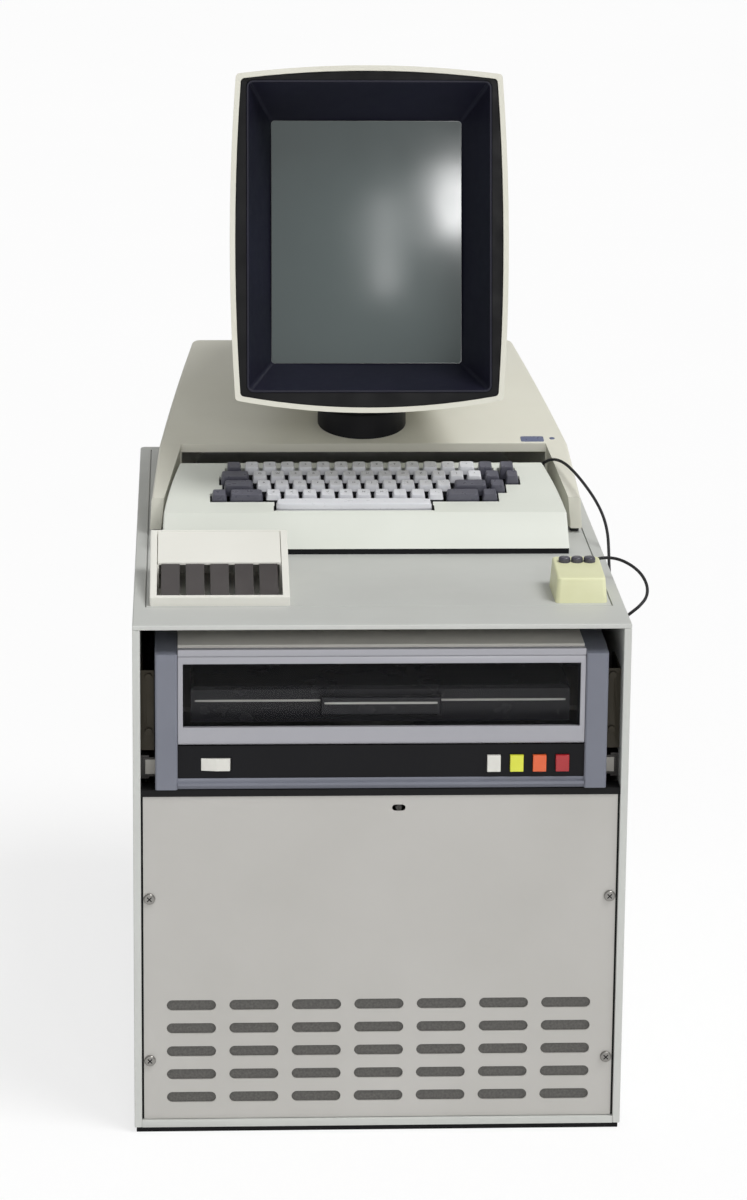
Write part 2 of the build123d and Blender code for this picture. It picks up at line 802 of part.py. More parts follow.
def drive_chassis():
    """The drive's tray: floor, sides, rear wall, front bulkhead, cartridge ledges and spindle boss."""
    floor = (drive_bottom, drive_bottom + chassis_sheet)
    chassis = block((-drive_half, drive_half), (bar_back, drive_back), floor)
    chassis += block((-bay_half, bay_half), (drive_front + trim_depth, bar_back), floor)
    chassis += block((-drive_half, drive_half), (drive_back - chassis_sheet, drive_back),
                     (drive_bottom, plate_bottom))
    chassis += block((-bay_half, bay_half), (bulkhead, bulkhead + chassis_sheet), (drive_bottom, control_top))
    for side in (-1, 1):
        chassis += block((side * drive_half, side * (drive_half - chassis_sheet)), (bar_back, drive_back),
                         (drive_bottom, plate_bottom))
        chassis += block((side * drive_half, side * (drive_half - ledge_width)), (bar_back, cartridge_y),
                         (cartridge_bottom - ledge_thickness, cartridge_bottom))
        chassis += block((side * drive_half, side * inner_rail_outer), (slide_front, slide_front + slide_length),
                         (slide_middle - inner_rail_height / 2, slide_middle + inner_rail_height / 2))
    chassis += rod(spindle_boss_radius, (0, cartridge_y, drive_bottom), (0, cartridge_y, boss_top))
    return chassis - rod(spindle_radius + running_gap, (0, cartridge_y, floor[1]), (0, cartridge_y, boss_top + overrun))


def drive_spindle():
    """The turning spindle whose nose enters the cartridge's hub."""
    low = drive_bottom + chassis_sheet + free_gap
    flange = boss_top + free_gap
    top = cartridge_bottom + cartridge_hub_depth - free_gap
    spindle = rod(spindle_radius, (0, cartridge_y, low), (0, cartridge_y, top))
    spindle += rod(spindle_cone_radius, (0, cartridge_y, flange), (0, cartridge_y, top))
    return spindle + rod(spindle_flange_radius, (0, cartridge_y, flange), (0, cartridge_y, flange + spindle_flange))


def disk_cartridge():
    """The removable cartridge: square in front with a grip, round at the back, with a hub recess."""
    z = (cartridge_bottom, cartridge_bottom + cartridge_thickness)
    face = cartridge_y - cartridge_radius
    body = rod(cartridge_radius, (0, cartridge_y, z[0]), (0, cartridge_y, z[1]))
    body += block((-cartridge_radius, cartridge_radius), (face, cartridge_y), z)
    body = chamfer(body.edges().group_by(Axis.Z)[-1], cartridge_edge)
    grip = block((-cartridge_grip_width / 2, cartridge_grip_width / 2), (face - cartridge_grip_depth, face),
                 (z[0] + cartridge_grip_height, z[1] - cartridge_grip_height))
    grip = fillet(grip.edges().group_by(Axis.Y)[0], cartridge_edge)
    hub = rod(cartridge_hub_radius, (0, cartridge_y, z[0] - overrun), (0, cartridge_y, z[0] + cartridge_hub_depth))
    return body + grip - hub


def drive_top_plate():
    """The lid of the drive; its front runs forward between the bars."""
    z = (plate_bottom, drive_top)
    plate = block((-drive_half, drive_half), (bar_back + free_gap, drive_back), z)
    x = bay_half - free_gap
    return plate + block((-x, x), (drive_front + top_plate_setback, bar_back + overrun), z)


def cap_place(index):
    """The X of a cap, counted from the right."""
    return bay_half - cap_inset - cap_pitch * index


rocker_x = -bay_half + rocker_inset + rocker_length / 2
rocker_axis = control_face + rocker_depth / 2


def control_panel():
    """The black panel with openings for the rocker and the caps, and two ears for the rocker's pins."""
    panel = block((-bay_half, bay_half), (control_face, control_back), (control_bottom, control_top))
    cut = (control_face - overrun, control_back + overrun)
    x_half = rocker_length / 2 + free_gap
    z_half = rocker_height / 2 + free_gap
    panel -= block((rocker_x - x_half, rocker_x + x_half), cut, (cap_z - z_half, cap_z + z_half))
    for index in range(cap_count):
        middle = cap_place(index)
        x_half = cap_width / 2 + free_gap
        panel -= block((middle - x_half, middle + x_half), cut,
                       (cap_z - cap_height / 2 - free_gap, cap_z + cap_height / 2 + free_gap))
    for side in (-1, 1):
        near = cap_z + side * z_half
        far = near + side * (rocker_pivot_reach + running_gap)
        panel += block((rocker_x - rocker_height / 2, rocker_x + rocker_height / 2),
                       (control_face, rocker_axis + rocker_pivot_radius * 2), (near, far))
        panel -= rod(rocker_pivot_radius + running_gap, (rocker_x, rocker_axis, near - side * free_gap),
                     (rocker_x, rocker_axis, far))
    return panel


def rocker_switch():
    """A rocker with two facets; its left facet is pressed in and its right one stands out."""
    lean = math.tan(math.radians(rocker_angle)) * rocker_length / 2
    left, right = rocker_x - rocker_length / 2, rocker_x + rocker_length / 2
    face = control_face - running_gap
    ridge = face - rocker_ridge
    back = rocker_axis + rocker_pivot_radius
    points = ((left, face), (rocker_x, ridge), (right - rocker_relief, ridge), (right, back - lean),
              (rocker_x, back), (left, back))
    outline = Plane.XY.offset(cap_z - rocker_height / 2) * make_face(Polyline(*points, close=True))
    rocker = extrude(outline, rocker_height)
    for side in (-1, 1):
        z = cap_z + side * rocker_height / 2
        rocker += rod(rocker_pivot_radius, (rocker_x, rocker_axis, z),
                      (rocker_x, rocker_axis, z + side * (free_gap + rocker_pivot_reach)))
    return rocker


def front_cap(index, back):
    """A square coloured cap that stands out of the control panel."""
    middle = cap_place(index)
    cap = block((middle - cap_width / 2, middle + cap_width / 2), (control_face - cap_proud, back),
                (cap_z - cap_height / 2, cap_z + cap_height / 2))
    return fillet(cap.edges().group_by(Axis.Y)[0], cap_edge)


def window_frame():
    """The drive's door: a frame round the window, rounded at its hinge edge, with two pins."""
    top = drive_top
    door = side_prism(((door_front, door_axis_z), (door_front, top), (door_back, top), (door_back, door_axis_z)),
                      -door_half, door_half)
    door += rod(door_depth / 2, (-door_half, door_axis_y, door_axis_z), (door_half, door_axis_y, door_axis_z))
    x = door_half - door_side_rail
    z = (door_bottom + door_lower_rail, top - door_upper_rail)
    door -= block((-x, x), (door_front - overrun, door_back + overrun), z)
    x += pane_rebate
    door -= block((-x, x), (door_back - pane_thickness - running_gap, door_back + overrun),
                  (z[0] - pane_rebate, z[1] + pane_rebate))
    groove = top - door_upper_rail / 2
    door -= block((-door_half - overrun, door_half + overrun), (door_front - overrun, door_front + door_groove),
                  (groove, groove + door_groove))
    for side in (-1, 1):
        door += rod(door_pin_radius, (side * door_half, door_axis_y, door_axis_z),
                    (side * (bay_half + door_pin_length), door_axis_y, door_axis_z))
    return door


def window_pane():
    """The smoked pane in the door's rebate."""
    x = door_half - door_side_rail + pane_rebate - running_gap
    low = door_bottom + door_lower_rail - pane_rebate + running_gap
    high = drive_top - door_upper_rail + pane_rebate - running_gap
    return block((-x, x), (door_back - pane_thickness, door_back), (low, high))


# Display base, pedestal and swivel


def tapering_plan(halves, y_front, y_rear, z, amount, taper, corner):
    """A solid over a plan whose long sides are shallow arcs; halves are its front, middle and rear."""
    y_low, y_high = front + y_front, front + y_rear
    y_middle = (y_low + y_high) / 2
    right = ThreePointArc((halves[0], y_low), (halves[1], y_middle), (halves[2], y_high))
    left = ThreePointArc((-halves[2], y_high), (-halves[1], y_middle), (-halves[0], y_low))
    outline = make_face([right, Line(right @ 1, left @ 0), left, Line(left @ 1, right @ 0)])
    if corner > 0:
        outline = fillet(outline.vertices().group_by(Axis.Y)[-1], corner)
    return extrude(Plane.XY.offset(z) * outline, amount, taper=taper)


deck_slope = (base_rear_height - base_lip_height) / (base_rear - base_lip)
arm_slope = (base_lip_height - base_arm_height) / (base_lip - base_front)


def deck_height(setback):
    """Height of the display base's sloping top above the cabinet's top."""
    return base_lip_height + (setback - base_lip) * deck_slope


def hood_top(setback):
    """Height of the display base's outline: the arms' slope in front of the lip, then the deck."""
    if setback < base_lip:
        return base_arm_height + (setback - base_front) * arm_slope
    return deck_height(setback)


def display_base():
    """The hood behind the keyboard: two arms, a sloping top with a lip, and an open bay below it."""
    tall = base_rear_height + overrun
    bottom = desk + base_foot
    low = bottom - overrun
    hood = tapering_plan((base_front_half, base_middle_half, base_rear_half), base_front, base_rear,
                         bottom, tall, base_draft, base_corner)
    profile = ((front + base_front, bottom), (front + base_front, desk + base_arm_height),
               (front + base_lip, desk + base_lip_height), (front + base_rear, desk + base_rear_height),
               (front + base_rear, bottom))
    hood &= side_prism(profile, -half_width, half_width)
    crests = []
    for edge in hood.edges():
        x, y, z = edge.center()
        outer = abs(x) > base_rear_half / 2 or y > front + base_rear - base_corner
        if outer and y > front + base_front + base_edge and z > desk + hood_top(y - front) - base_edge:
            crests.append(edge)
    hood = fillet(crests, base_edge)
    # the open space between the arms; its leaning rear wall meets the lip's front face
    lean = math.tan(math.radians(arm_draft)) * (base_lip_height - base_foot + overrun)
    y = (front + base_front - overrun, front + base_front, front + base_lip + lean)
    x = (arm_inner_front, arm_inner_front, arm_inner_lip)
    right = list(zip(x, y))
    left = [(-half, place) for half, place in reversed(right)]
    arms = make_face(Polyline(*right, *left, close=True))
    hood -= extrude(Plane.XY.offset(low) * arms, tall + overrun, taper=arm_draft)
    # the bay under the top
    bay = tapering_plan((bay_front_half, bay_middle_half, bay_rear_half), base_lip - overrun,
                        base_rear - bay_rear_wall, low, tall, 0, base_corner / 2)
    lip = base_lip - overrun
    ceiling = ((front + lip, low), (front + lip, desk + deck_height(lip) - lip_thickness),
               (front + base_rear, desk + base_rear_height - lip_thickness), (front + base_rear, low))
    return hood - (bay & side_prism(ceiling, -half_width, half_width))


def base_feet():
    """Four rubber feet under the display base."""
    feet = []
    places = ((base_front_half - foot_side_inset, base_front + foot_front_inset),
              (base_rear_half - foot_side_inset, base_rear - foot_rear_inset))
    for x, setback in places:
        for side in (-1, 1):
            y = front + setback
            feet.append(rod(foot_radius, (side * x, y, desk), (side * x, y, desk + base_foot)))
    return solids_of(feet)


pedestal_y = front + pedestal_setback
tilt_axis = (0, pedestal_y, desk + tilt_axis_height)


def pedestal_base():
    """The black drum that stands on the sloping top and holds the swivel's spigot."""
    drum = rod(pedestal_radius, (0, pedestal_y, desk), (0, pedestal_y, desk + pedestal_top))
    drum = fillet(drum.edges().group_by(Axis.Z)[-1], pedestal_edge)
    lip = base_lip - overrun
    below = ((front + lip, desk - overrun), (front + lip, desk + deck_height(lip)),
             (front + base_rear, desk + base_rear_height), (front + base_rear, desk - overrun))
    drum -= side_prism(below, -half_width, half_width)
    return drum - rod(spigot_radius + running_gap, (0, pedestal_y, desk + pedestal_top - spigot_depth - free_gap),
                      (0, pedestal_y, desk + pedestal_top + overrun))


def swivel_post():
    """The turning post: spigot, neck flange, tongue and the tilt pin."""
    low = desk + pedestal_top + free_gap
    z = tilt_axis[2]
    post = rod(spigot_radius, (0, pedestal_y, low - spigot_depth), (0, pedestal_y, low))
    post += rod(neck_flange_radius, (0, pedestal_y, low), (0, pedestal_y, low + neck_flange))
    post += block((-tongue_half, tongue_half), (pedestal_y - tongue_radius, pedestal_y + tongue_radius),
                  (low + neck_flange / 2, z))
    post += rod(tongue_radius, (-tongue_half, pedestal_y, z), (tongue_half, pedestal_y, z))
    return post + rod(tilt_pin_radius, (-tilt_pin_reach, pedestal_y, z), (tilt_pin_reach, pedestal_y, z))


# Monitor


monitor_place = Pos(0, front + monitor_setback, desk + monitor_lift) * Rot(X=-monitor_lean)


def depth_share(depth):
    """Size of the housing's outline at a depth, as a share of the rim."""
    return 1 + (housing_rear_share - 1) * (depth - rim_depth) / (housing_depth - rim_depth)


def rim_outline(share, inset, depth):
    """The rim's outline: four shallow arcs between rounded corners, scaled and set in."""
    top = rim_corner_top * share
    bottom = -rim_corner_bottom * share
    corners = ((rim_bottom_half * share, bottom), (rim_top_half * share, top),
               (-rim_top_half * share, top), (-rim_bottom_half * share, bottom))
    crowns = ((rim_side_half * share, 0), (0, rim_top * share), (-rim_side_half * share, 0), (0, -rim_bottom * share))
    arcs = []
    for index, crown in enumerate(crowns):
        arcs.append(ThreePointArc(corners[index], crown, corners[(index + 1) % len(corners)]))
    outline = make_face(arcs)
    if inset > 0:
        outline = offset(outline, -inset, kind=Kind.INTERSECTION)
    outline = fillet(outline.vertices(), rim_corner * share)
    return Plane.XZ.offset(-depth) * outline


def tapered(inset, start, end):
    """The housing's tapering body between two depths, set in by a wall."""
    return loft([rim_outline(depth_share(start), inset, start), rim_outline(depth_share(end), inset, end)])


def monitor_shell():
    """The housing: a rim, a body that tapers backwards, and two ears for the tilt pin."""
    shell = extrude(rim_outline(1, 0, 0), -rim_depth) + tapered(0, rim_depth, housing_depth)
    axis = (monitor_place.inverse() * Pos(*tilt_axis)).position
    for side in (-1, 1):
        near = side * (tongue_half + free_gap)
        far = near + side * ear_thickness
        shell += rod(ear_radius, (near, axis.Y, axis.Z), (far, axis.Y, axis.Z))
        shell += block((near, far), (axis.Y - ear_radius, axis.Y + ear_radius), (axis.Z, axis.Z + ear_top))
    shell -= tapered(housing_wall, rim_depth, housing_depth + overrun)
    shell -= extrude(rim_outline(1, rim_wall, -overrun), -(rim_depth + overrun))
    shell -= rod(tilt_pin_radius + running_gap, (-tilt_pin_reach - overrun, axis.Y, axis.Z),
                 (tilt_pin_reach + overrun, axis.Y, axis.Z))
    return monitor_place * shell


def monitor_back():
    """The rear cover with its air slots."""
    start = housing_depth - back_thickness
    back = tapered(housing_wall + running_gap, start, housing_depth)
    lowest = -(back_slots - 1) / 2 * back_slot_pitch
    back -= slot_grid(1, back_slots, 0, back_slot_pitch, 0, lowest, back_slot_length, back_slot_height,
                      start - overrun, housing_depth + overrun)
    return monitor_place * back


def opening_outline(half, top, bottom, corner, depth):
    """A rounded rectangle at a depth, given by its edges."""
    middle = (top - bottom) / 2
    return Plane.XZ.offset(-depth) * (Pos(0, middle) * RectangleRounded(half * 2, top + bottom, corner))


def screen_outline(grow, corner, depth):
    """The screen's rounded rectangle, grown by a border."""
    return opening_outline(screen_half + grow, screen_half_height - screen_middle + grow,
                           screen_half_height + screen_middle + grow, corner, depth)


def recess_body(grow, start, end):
    """The funnel shaped recess in front of the glass, grown by a wall."""
    first = opening_outline(lip_half + grow, lip_top + grow, lip_bottom + grow, lip_corner + grow, start)
    return loft([first, screen_outline(grow, screen_corner + grow, end)])


recess_end = bezel_recess + recess_depth


def monitor_bezel():
    """The dark front: a plate inside the rim, a raised inner lip and the deep recess to the glass."""
    plate = extrude(rim_outline(1, rim_wall + running_gap, bezel_recess), -bezel_plate)
    start = bezel_recess - lip_rise
    lip = extrude(opening_outline(lip_half + lip_wall, lip_top + lip_wall, lip_bottom + lip_wall,
                                  lip_corner + lip_wall, start), -(lip_rise + bezel_plate))
    mouth = opening_outline(lip_half, lip_top, lip_bottom, lip_corner, start - overrun)
    bezel = plate + lip + recess_body(lip_wall, bezel_recess, recess_end)
    bezel -= extrude(mouth, -(overrun + lip_rise))
    return monitor_place * (bezel - recess_body(0, bezel_recess, recess_end))


def crt_tube():
    """The picture tube: bowed glass, tapering funnel, yoke and neck."""
    tube = extrude(screen_outline(glass_border, screen_corner + glass_border, recess_end), -glass_thickness)
    reach = math.hypot(screen_half, screen_half_height)
    ball_radius = (reach * reach + glass_bow * glass_bow) / (glass_bow * 2)
    dome = extrude(screen_outline(-free_gap, screen_corner, recess_end - glass_bow - overrun),
                   -(glass_bow + overrun * 2))
    dome &= Pos(0, recess_end - glass_bow + ball_radius, -screen_middle) * Sphere(ball_radius)
    back = recess_end + glass_thickness
    end = back + funnel_depth
    throat = neck_radius * 2
    mouth = opening_outline(throat, throat - screen_middle, throat + screen_middle, neck_radius * 9 / 5, end)
    tube += loft([screen_outline(0, screen_corner + glass_border, back), mouth])
    tube += dome
    tube += rod(neck_radius, (0, end - overrun, -screen_middle), (0, end + neck_length, -screen_middle))
    return monitor_place * (tube + rod(yoke_radius, (0, end - yoke_length / 2, -screen_middle),
                                       (0, end + yoke_length / 2, -screen_middle)))


# Keyboard


key_angle = math.degrees(math.atan2(keyboard_rear_height - keyboard_crease_height, keyboard_rear - keyboard_crease))
deck = Plane(origin=(keyboard_x, front + keyboard_crease, desk + keyboard_crease_height), x_dir=(1, 0, 0),
             z_dir=(0, -math.sin(math.radians(key_angle)), math.cos(math.radians(key_angle))))

# Key rows from front to rear, as shares of the key pitch: the first key's left edge measured from the
# keyboard's middle, then one word per key with its kind and width. The letter g is a gap.
key_row_shares = (
    (-4.99, "s8.75"),
    (-8.54, "d1 d2 l1 l1 l1 l1 l1 l1 l1 l1 l1 l1 d2 d1"),
    (-7.85, "d1.8 l1 l1 l1 l1 l1 l1 l1 l1 l1 l1 l1 d2 d1"),
    (-8.02, "d1.76 l1 l1 l1 l1 l1 l1 l1 l1 l1 l1 l1 l1 l1 d1 g0.15 d0.9"),
    (-7.69, "d1 n1 n1 n1 n1 n1 n1 n1 n1 n1 n1 n1 n1 n1.1 d1 g0.2 d1"),
)


def key_places():
    """Every key as (kind, row, left, width), worked out from the rows of shares."""
    keys = []
    for row, (start, words) in enumerate(key_row_shares):
        left = start * key_pitch_x
        for word in words.split():
            width = float(word[1:]) * key_pitch_x
            if word[0] != "g":
                keys.append((word[0], row, left, width))
            left += width
    return keys


def row_place(row):
    """The middle of a key row, along the deck from its front crease."""
    return space_row + row * key_pitch


def key_cap(row, width):
    """A cap with an upright skirt and leaning sides, a shallow dish, and its stem."""
    top = key_rise + key_step * row
    base_width = width - key_gap
    base_depth = key_pitch - key_gap
    cap = loft([Plane.XY.offset(key_shoulder) * Rectangle(base_width, base_depth),
                Plane.XY.offset(top) * Rectangle(width - (key_pitch - key_top_width), key_top_depth)])
    cap += Pos(0, 0, key_shoulder) * Box(base_width, base_depth, key_shoulder + key_skirt,
                                         align=(Align.CENTER, Align.CENTER, Align.MAX))
    if row > 0:
        radius = (key_top_width * key_top_width / 4 + key_dish * key_dish) / (key_dish * 2)
        centre = Pos(0, 0, top + radius - key_dish)
        dish = Rot(X=90) * Cylinder(radius, key_pitch)
        half = (width - key_pitch_x) / 2
        if half > key_pitch_x / 8:
            dish = Pos(half, 0, 0) * dish + Pos(-half, 0, 0) * dish + Box(half * 2, key_pitch, radius * 2)
        cap -= centre * dish
    stem = Box(key_stem, key_stem, key_plate_drop - key_travel - free_gap - key_skirt / 2,
               align=(Align.CENTER, Align.CENTER, Align.MAX))
    return cap + Pos(0, 0, -key_skirt / 2) * stem


def key_group(kind):
    """All caps of one kind, in their places on the sloping deck."""
    shapes = {}
    caps = []
    for key_kind, row, left, width in key_places():
        if key_kind == kind:
            size = (row, round(width, 3))
            if size not in shapes:
                shapes[size] = key_cap(row, width)
            caps.append(deck.location * Pos(left + width / 2, row_place(row), 0) * shapes[size])
    return solids_of(caps)


def keyboard_solid(inset, drop):
    """The keyboard's wedge between shallow curved sides, set in by a wall, its bottom lowered by drop."""
    bottom = desk + keyboard_base_height - drop
    slope = (keyboard_crease - keyboard_front) / (keyboard_crease_height - keyboard_base_height)
    y_low = keyboard_front - drop * slope
    profile = ((front + y_low, bottom), (front + keyboard_crease, desk + keyboard_crease_height),
               (front + keyboard_rear, desk + keyboard_rear_height), (front + keyboard_rear, bottom))
    outline = make_face(Polyline(*profile, close=True))
    if inset > 0:
        outline = offset(outline, -inset, kind=Kind.INTERSECTION)
    wedge_body = extrude(Plane.YZ.offset(-half_width) * outline, cabinet_width)
    halves = (keyboard_front_half - inset, keyboard_middle_half - inset, keyboard_rear_half - inset)
    plan = tapering_plan(halves, y_low, keyboard_rear, bottom, keyboard_rear_height + drop, 0, 0)
    return (Pos(keyboard_x, 0, 0) * plan) & wedge_body


def keyboard_case():
    """The hollow case with one well for each run of keys."""
    case = keyboard_solid(0, 0)
    crests = [edge for edge in case.edges() if edge.center().Z > desk + keyboard_base_height
              and edge.center().Y < front + keyboard_rear - keyboard_wall
              and abs(edge.center().X - keyboard_x) > keyboard_rear_half / 2]
    case = fillet(crests, keyboard_edge)
    case -= keyboard_solid(keyboard_wall, overrun + keyboard_wall)
    runs = []
    for kind, row, left, width in key_places():
        last = runs[-1] if runs else None
        if last and last[0] == row and left - last[2] < key_pitch_x * key_bridge_share:
            last[2] = left + width
        else:
            runs.append([row, left, left + width])
    grow = key_well_gap - key_gap / 2
    for row, left, right in runs:
        well = Box(right - left + grow * 2, key_pitch + grow * 2, (keyboard_wall + overrun) * 2)
        case -= deck.location * Pos((left + right) / 2, row_place(row), 0) * well
    return case


def keyboard_base():
    """The black base with posts that carry the sloping key plate."""
    inset = keyboard_base_inset
    halves = (keyboard_front_half - inset, keyboard_middle_half - inset, keyboard_rear_half - inset)
    base = tapering_plan(halves, keyboard_front + inset, keyboard_rear - inset, desk, keyboard_base_height,
                         0, keyboard_corner)
    base = Pos(keyboard_x, 0, 0) * base
    left = min(key[2] for key in key_places()) - key_plate_margin
    right = max(key[2] + key[3] for key in key_places()) + key_plate_margin
    low = row_place(0) - key_pitch / 2 + key_plate_margin
    high = row_place(len(key_row_shares) - 1) + key_pitch / 2
    depth = -key_plate_drop - key_plate / 2
    base += deck.location * Pos((left + right) / 2, (low + high) / 2, depth) * Box(right - left, high - low, key_plate)
    for x_side in (left + plate_post, right - plate_post):
        for place in (low + plate_post, high - plate_post):
            x, y, z = (deck.location * Pos(x_side, place, depth)).position
            base += rod(plate_post / 2, (x, y, desk), (x, y, z))
    return base


# Keyset


keyset_slope = (keyset_rear_height - keyset_front_height) / keyset_depth
keyset_x = keyset_left + keyset_width / 2
keyset_right = keyset_left + keyset_width


def keyset_height(back, drop):
    """Height of the keyset's slope at a distance behind its front, lowered by drop."""
    return desk + keyset_front_height + back * keyset_slope - drop


def wedge(back, x, drop_top, bottom):
    """A prism under the keyset's slope, between two distances behind its front and down to a height."""
    y_low, y_high = front + keyset_front + back[0], front + keyset_front + back[1]
    points = ((y_low, bottom), (y_low, keyset_height(back[0], drop_top)),
              (y_high, keyset_height(back[1], drop_top)), (y_high, bottom))
    return side_prism(points, *x)


def layer(back, x, drop_top, thickness):
    """A plate that follows the keyset's slope, its top lowered by drop_top."""
    y_low, y_high = front + keyset_front + back[0], front + keyset_front + back[1]
    points = ((y_low, keyset_height(back[0], drop_top + thickness)), (y_low, keyset_height(back[0], drop_top)),
              (y_high, keyset_height(back[1], drop_top)), (y_high, keyset_height(back[1], drop_top + thickness)))
    return side_prism(points, *x)


shaft_y = front + keyset_front + keyset_shaft_back
shaft_z = keyset_height(keyset_shaft_back, keyset_shaft_drop)
shaft_left = keyset_left + keyset_wall / 2
shaft_right = keyset_right - keyset_wall / 2


def keyset_case():
    """An open wedge with side rims, a seat for the cover and bores for the shaft."""
    case = wedge((0, keyset_depth), (keyset_left, keyset_right), 0, desk)
    case = fillet(case.edges().filter_by(Axis.X).group_by(Axis.Z)[-1], keyset_edge)
    case = fillet(case.edges().filter_by(Axis.Z), keyset_edge)
    inside = (keyset_left + keyset_wall, keyset_right - keyset_wall)
    floor = desk + keyset_floor
    rim = paddle_front_gap + keyset_edge * 2
    case -= wedge((rim, keyset_depth - keyset_wall), inside, -overrun, floor)
    case -= layer((keyset_cover_back, keyset_depth - keyset_wall / 2), inside, -overrun,
                  keyset_cover_thickness + overrun)
    for x in ((inside[0], inside[0] + keyset_seat), (inside[1] - keyset_seat, inside[1])):
        case += wedge((keyset_cover_back, keyset_depth - keyset_wall), x, keyset_cover_thickness, floor)
    return case - rod(keyset_shaft_radius + running_gap, (shaft_left, shaft_y, shaft_z), (shaft_right, shaft_y, shaft_z))


def keyset_cover():
    """The plate over the paddles' rear ends, flush with the slope."""
    gap = keyset_cover_gap
    x = (keyset_left + keyset_wall + gap, keyset_right - keyset_wall - gap)
    return layer((keyset_cover_back, keyset_depth - keyset_wall / 2 - gap), x, 0, keyset_cover_thickness)


def keyset_shaft():
    """The shaft on which the five paddles rock."""
    return rod(keyset_shaft_radius, (shaft_left, shaft_y, shaft_z), (shaft_right, shaft_y, shaft_z))


def paddle(index):
    """A long paddle: flush with the slope in front, stepped down under the cover, with a hub."""
    middle = keyset_x + (index - (paddle_count - 1) / 2) * paddle_pitch
    x = (middle - paddle_width / 2, middle + paddle_width / 2)
    tip = paddle_front_gap * 2 + keyset_edge * 2
    step = keyset_cover_back - keyset_cover_gap * 2
    under = keyset_cover_thickness + keyset_cover_gap
    blade = layer((tip, step), x, paddle_drop, paddle_thickness)
    blade += layer((step - paddle_thickness, step), x, paddle_drop, under + paddle_thickness - paddle_drop)
    blade += layer((step - paddle_thickness, keyset_shaft_back), x, under, paddle_thickness)
    blade += wedge((keyset_shaft_back - paddle_hub_radius, keyset_shaft_back + paddle_hub_radius / 2), x, under, shaft_z)
    blade += rod(paddle_hub_radius, (x[0], shaft_y, shaft_z), (x[1], shaft_y, shaft_z))
    return blade - rod(keyset_shaft_radius + running_gap, (x[0] - overrun, shaft_y, shaft_z),
                       (x[1] + overrun, shaft_y, shaft_z))


# Mouse


mouse_top_slope = (mouse_rear_height - mouse_front_height) / (mouse_length - mouse_crease)
mouse_y = front + mouse_front


def mouse_height(back):
    """Height of the mouse's top at a distance behind its front."""
    return desk + mouse_front_height + (back - mouse_crease) * mouse_top_slope


def mouse_button_place(index):
    """Where a mouse button's axis meets the top."""
    return (mouse_x + index * mouse_button_pitch, mouse_y + mouse_button_back, mouse_height(mouse_button_back))


def mouse_shell():
    """The mouse's box with leaning sides and three wells for its buttons."""
    lean = math.tan(math.radians(mouse_draft)) * mouse_rear_height
    half = mouse_width / 2
    section = ((mouse_x - half, desk), (mouse_x - half + lean, desk + mouse_rear_height),
               (mouse_x + half - lean, desk + mouse_rear_height), (mouse_x + half, desk))
    shell = end_prism(section, mouse_y, mouse_y + mouse_length)
    profile = ((mouse_y, desk), (mouse_y + mouse_crease, mouse_height(mouse_crease)),
               (mouse_y + mouse_length, mouse_height(mouse_length)), (mouse_y + mouse_length, desk))
    shell &= side_prism(profile, mouse_x - half, mouse_x + half)
    corners = [edge for edge in shell.edges() if edge.center().Z > desk + mouse_edge
               and edge.center().Z < desk + mouse_front_height * 2 / 3]
    shell = fillet(corners, mouse_corner)
    crown = [edge for edge in shell.edges() if edge.center().Z > desk + mouse_front_height - mouse_edge]
    shell = fillet(crown, mouse_edge)
    for index in (-1, 0, 1):
        x, y, top = mouse_button_place(index)
        depth = mouse_button_sunk + mouse_button_travel + free_gap
        shell -= rod(mouse_button_radius + running_gap, (x, y, top - depth), (x, y, top + overrun))
    return shell


def mouse_button(index):
    """A round button with a softened top edge."""
    x, y, top = mouse_button_place(index)
    button = rod(mouse_button_radius, (x, y, top - mouse_button_sunk), (x, y, top + mouse_button_proud))
    return fillet(button.edges().group_by(Axis.Z)[-1], mouse_button_edge)


# Mouse cord: out of the mouse, over the cabinet's right edge, along its side, and up to the keyboard.
# Each point is X from the cabinet's right side, distance behind its front, height above its top.
mouse_end = (mouse_cord_side - mouse_side, mouse_front + mouse_length + gland_length, mouse_cord_height)
keyboard_end = (-keyboard_cord_side, keyboard_rear + gland_length, keyboard_cord_height)
cord_route = (
    mouse_end,
    (-31.5, 162.0, 16.0),
    (-25.0, 172.0, 18.0),
    (-12.0, 176.0, 20.5),
    (2.5, 171.0, 21.0),
    (15.0, 158.5, 18.0),
    (24.5, 141.0, 13.0),
    (28.5, 119.0, 6.5),
    (26.0, 98.0, 0.5),
    (17.5, 85.0, -5.5),
    (8.5, 85.5, -13.0),
    (4.8, 96.0, -20.0),
    (4.3, 114.0, -26.0),
    (4.2, 142.0, -31.0),
    (4.3, 180.0, -34.5),
    (4.2, 216.0, -32.0),
    (4.6, 244.0, -24.0),
    (5.4, 264.0, -12.5),
    (6.5, 280.0, 1.0),
    (6.6, 295.0, 16.0),
    (3.5, 311.0, 30.0),
    (-3.5, 330.0, 43.0),
    (-13.0, 352.0, 54.5),
    (-23.0, 373.0, 64.0),
    (-32.5, 389.5, 70.0),
    (-41.5, 401.0, 70.5),
    (-48.5, 409.5, 66.5),
    (-53.5, 417.0, 60.5),
    (-57.7, 424.5, 52.5),
    (-60.4, 424.8, 42.1),
    (-61.0, 417.2, 35.0),
    keyboard_end,
)


def cord_wire():
    """Straight runs joined by tangent arcs, each as large as its two runs allow."""
    points = [Vector(half_width + x, front + y, desk + z) for x, y, z in cord_route]
    radii = []
    for index in range(1, len(points) - 1):
        before = points[index] - points[index - 1]
        after = points[index + 1] - points[index]
        turn = before.get_angle(after)
        run = min(before.length, after.length)
        radii.append(run * 9 / 20 / math.tan(math.radians(turn / 2)))
        print("cord corner", index, "run", round(before.length, 1), "turn", round(turn, 1),
              "radius", round(radii[-1], 1))
    return FilletPolyline(*points, radius=radii)


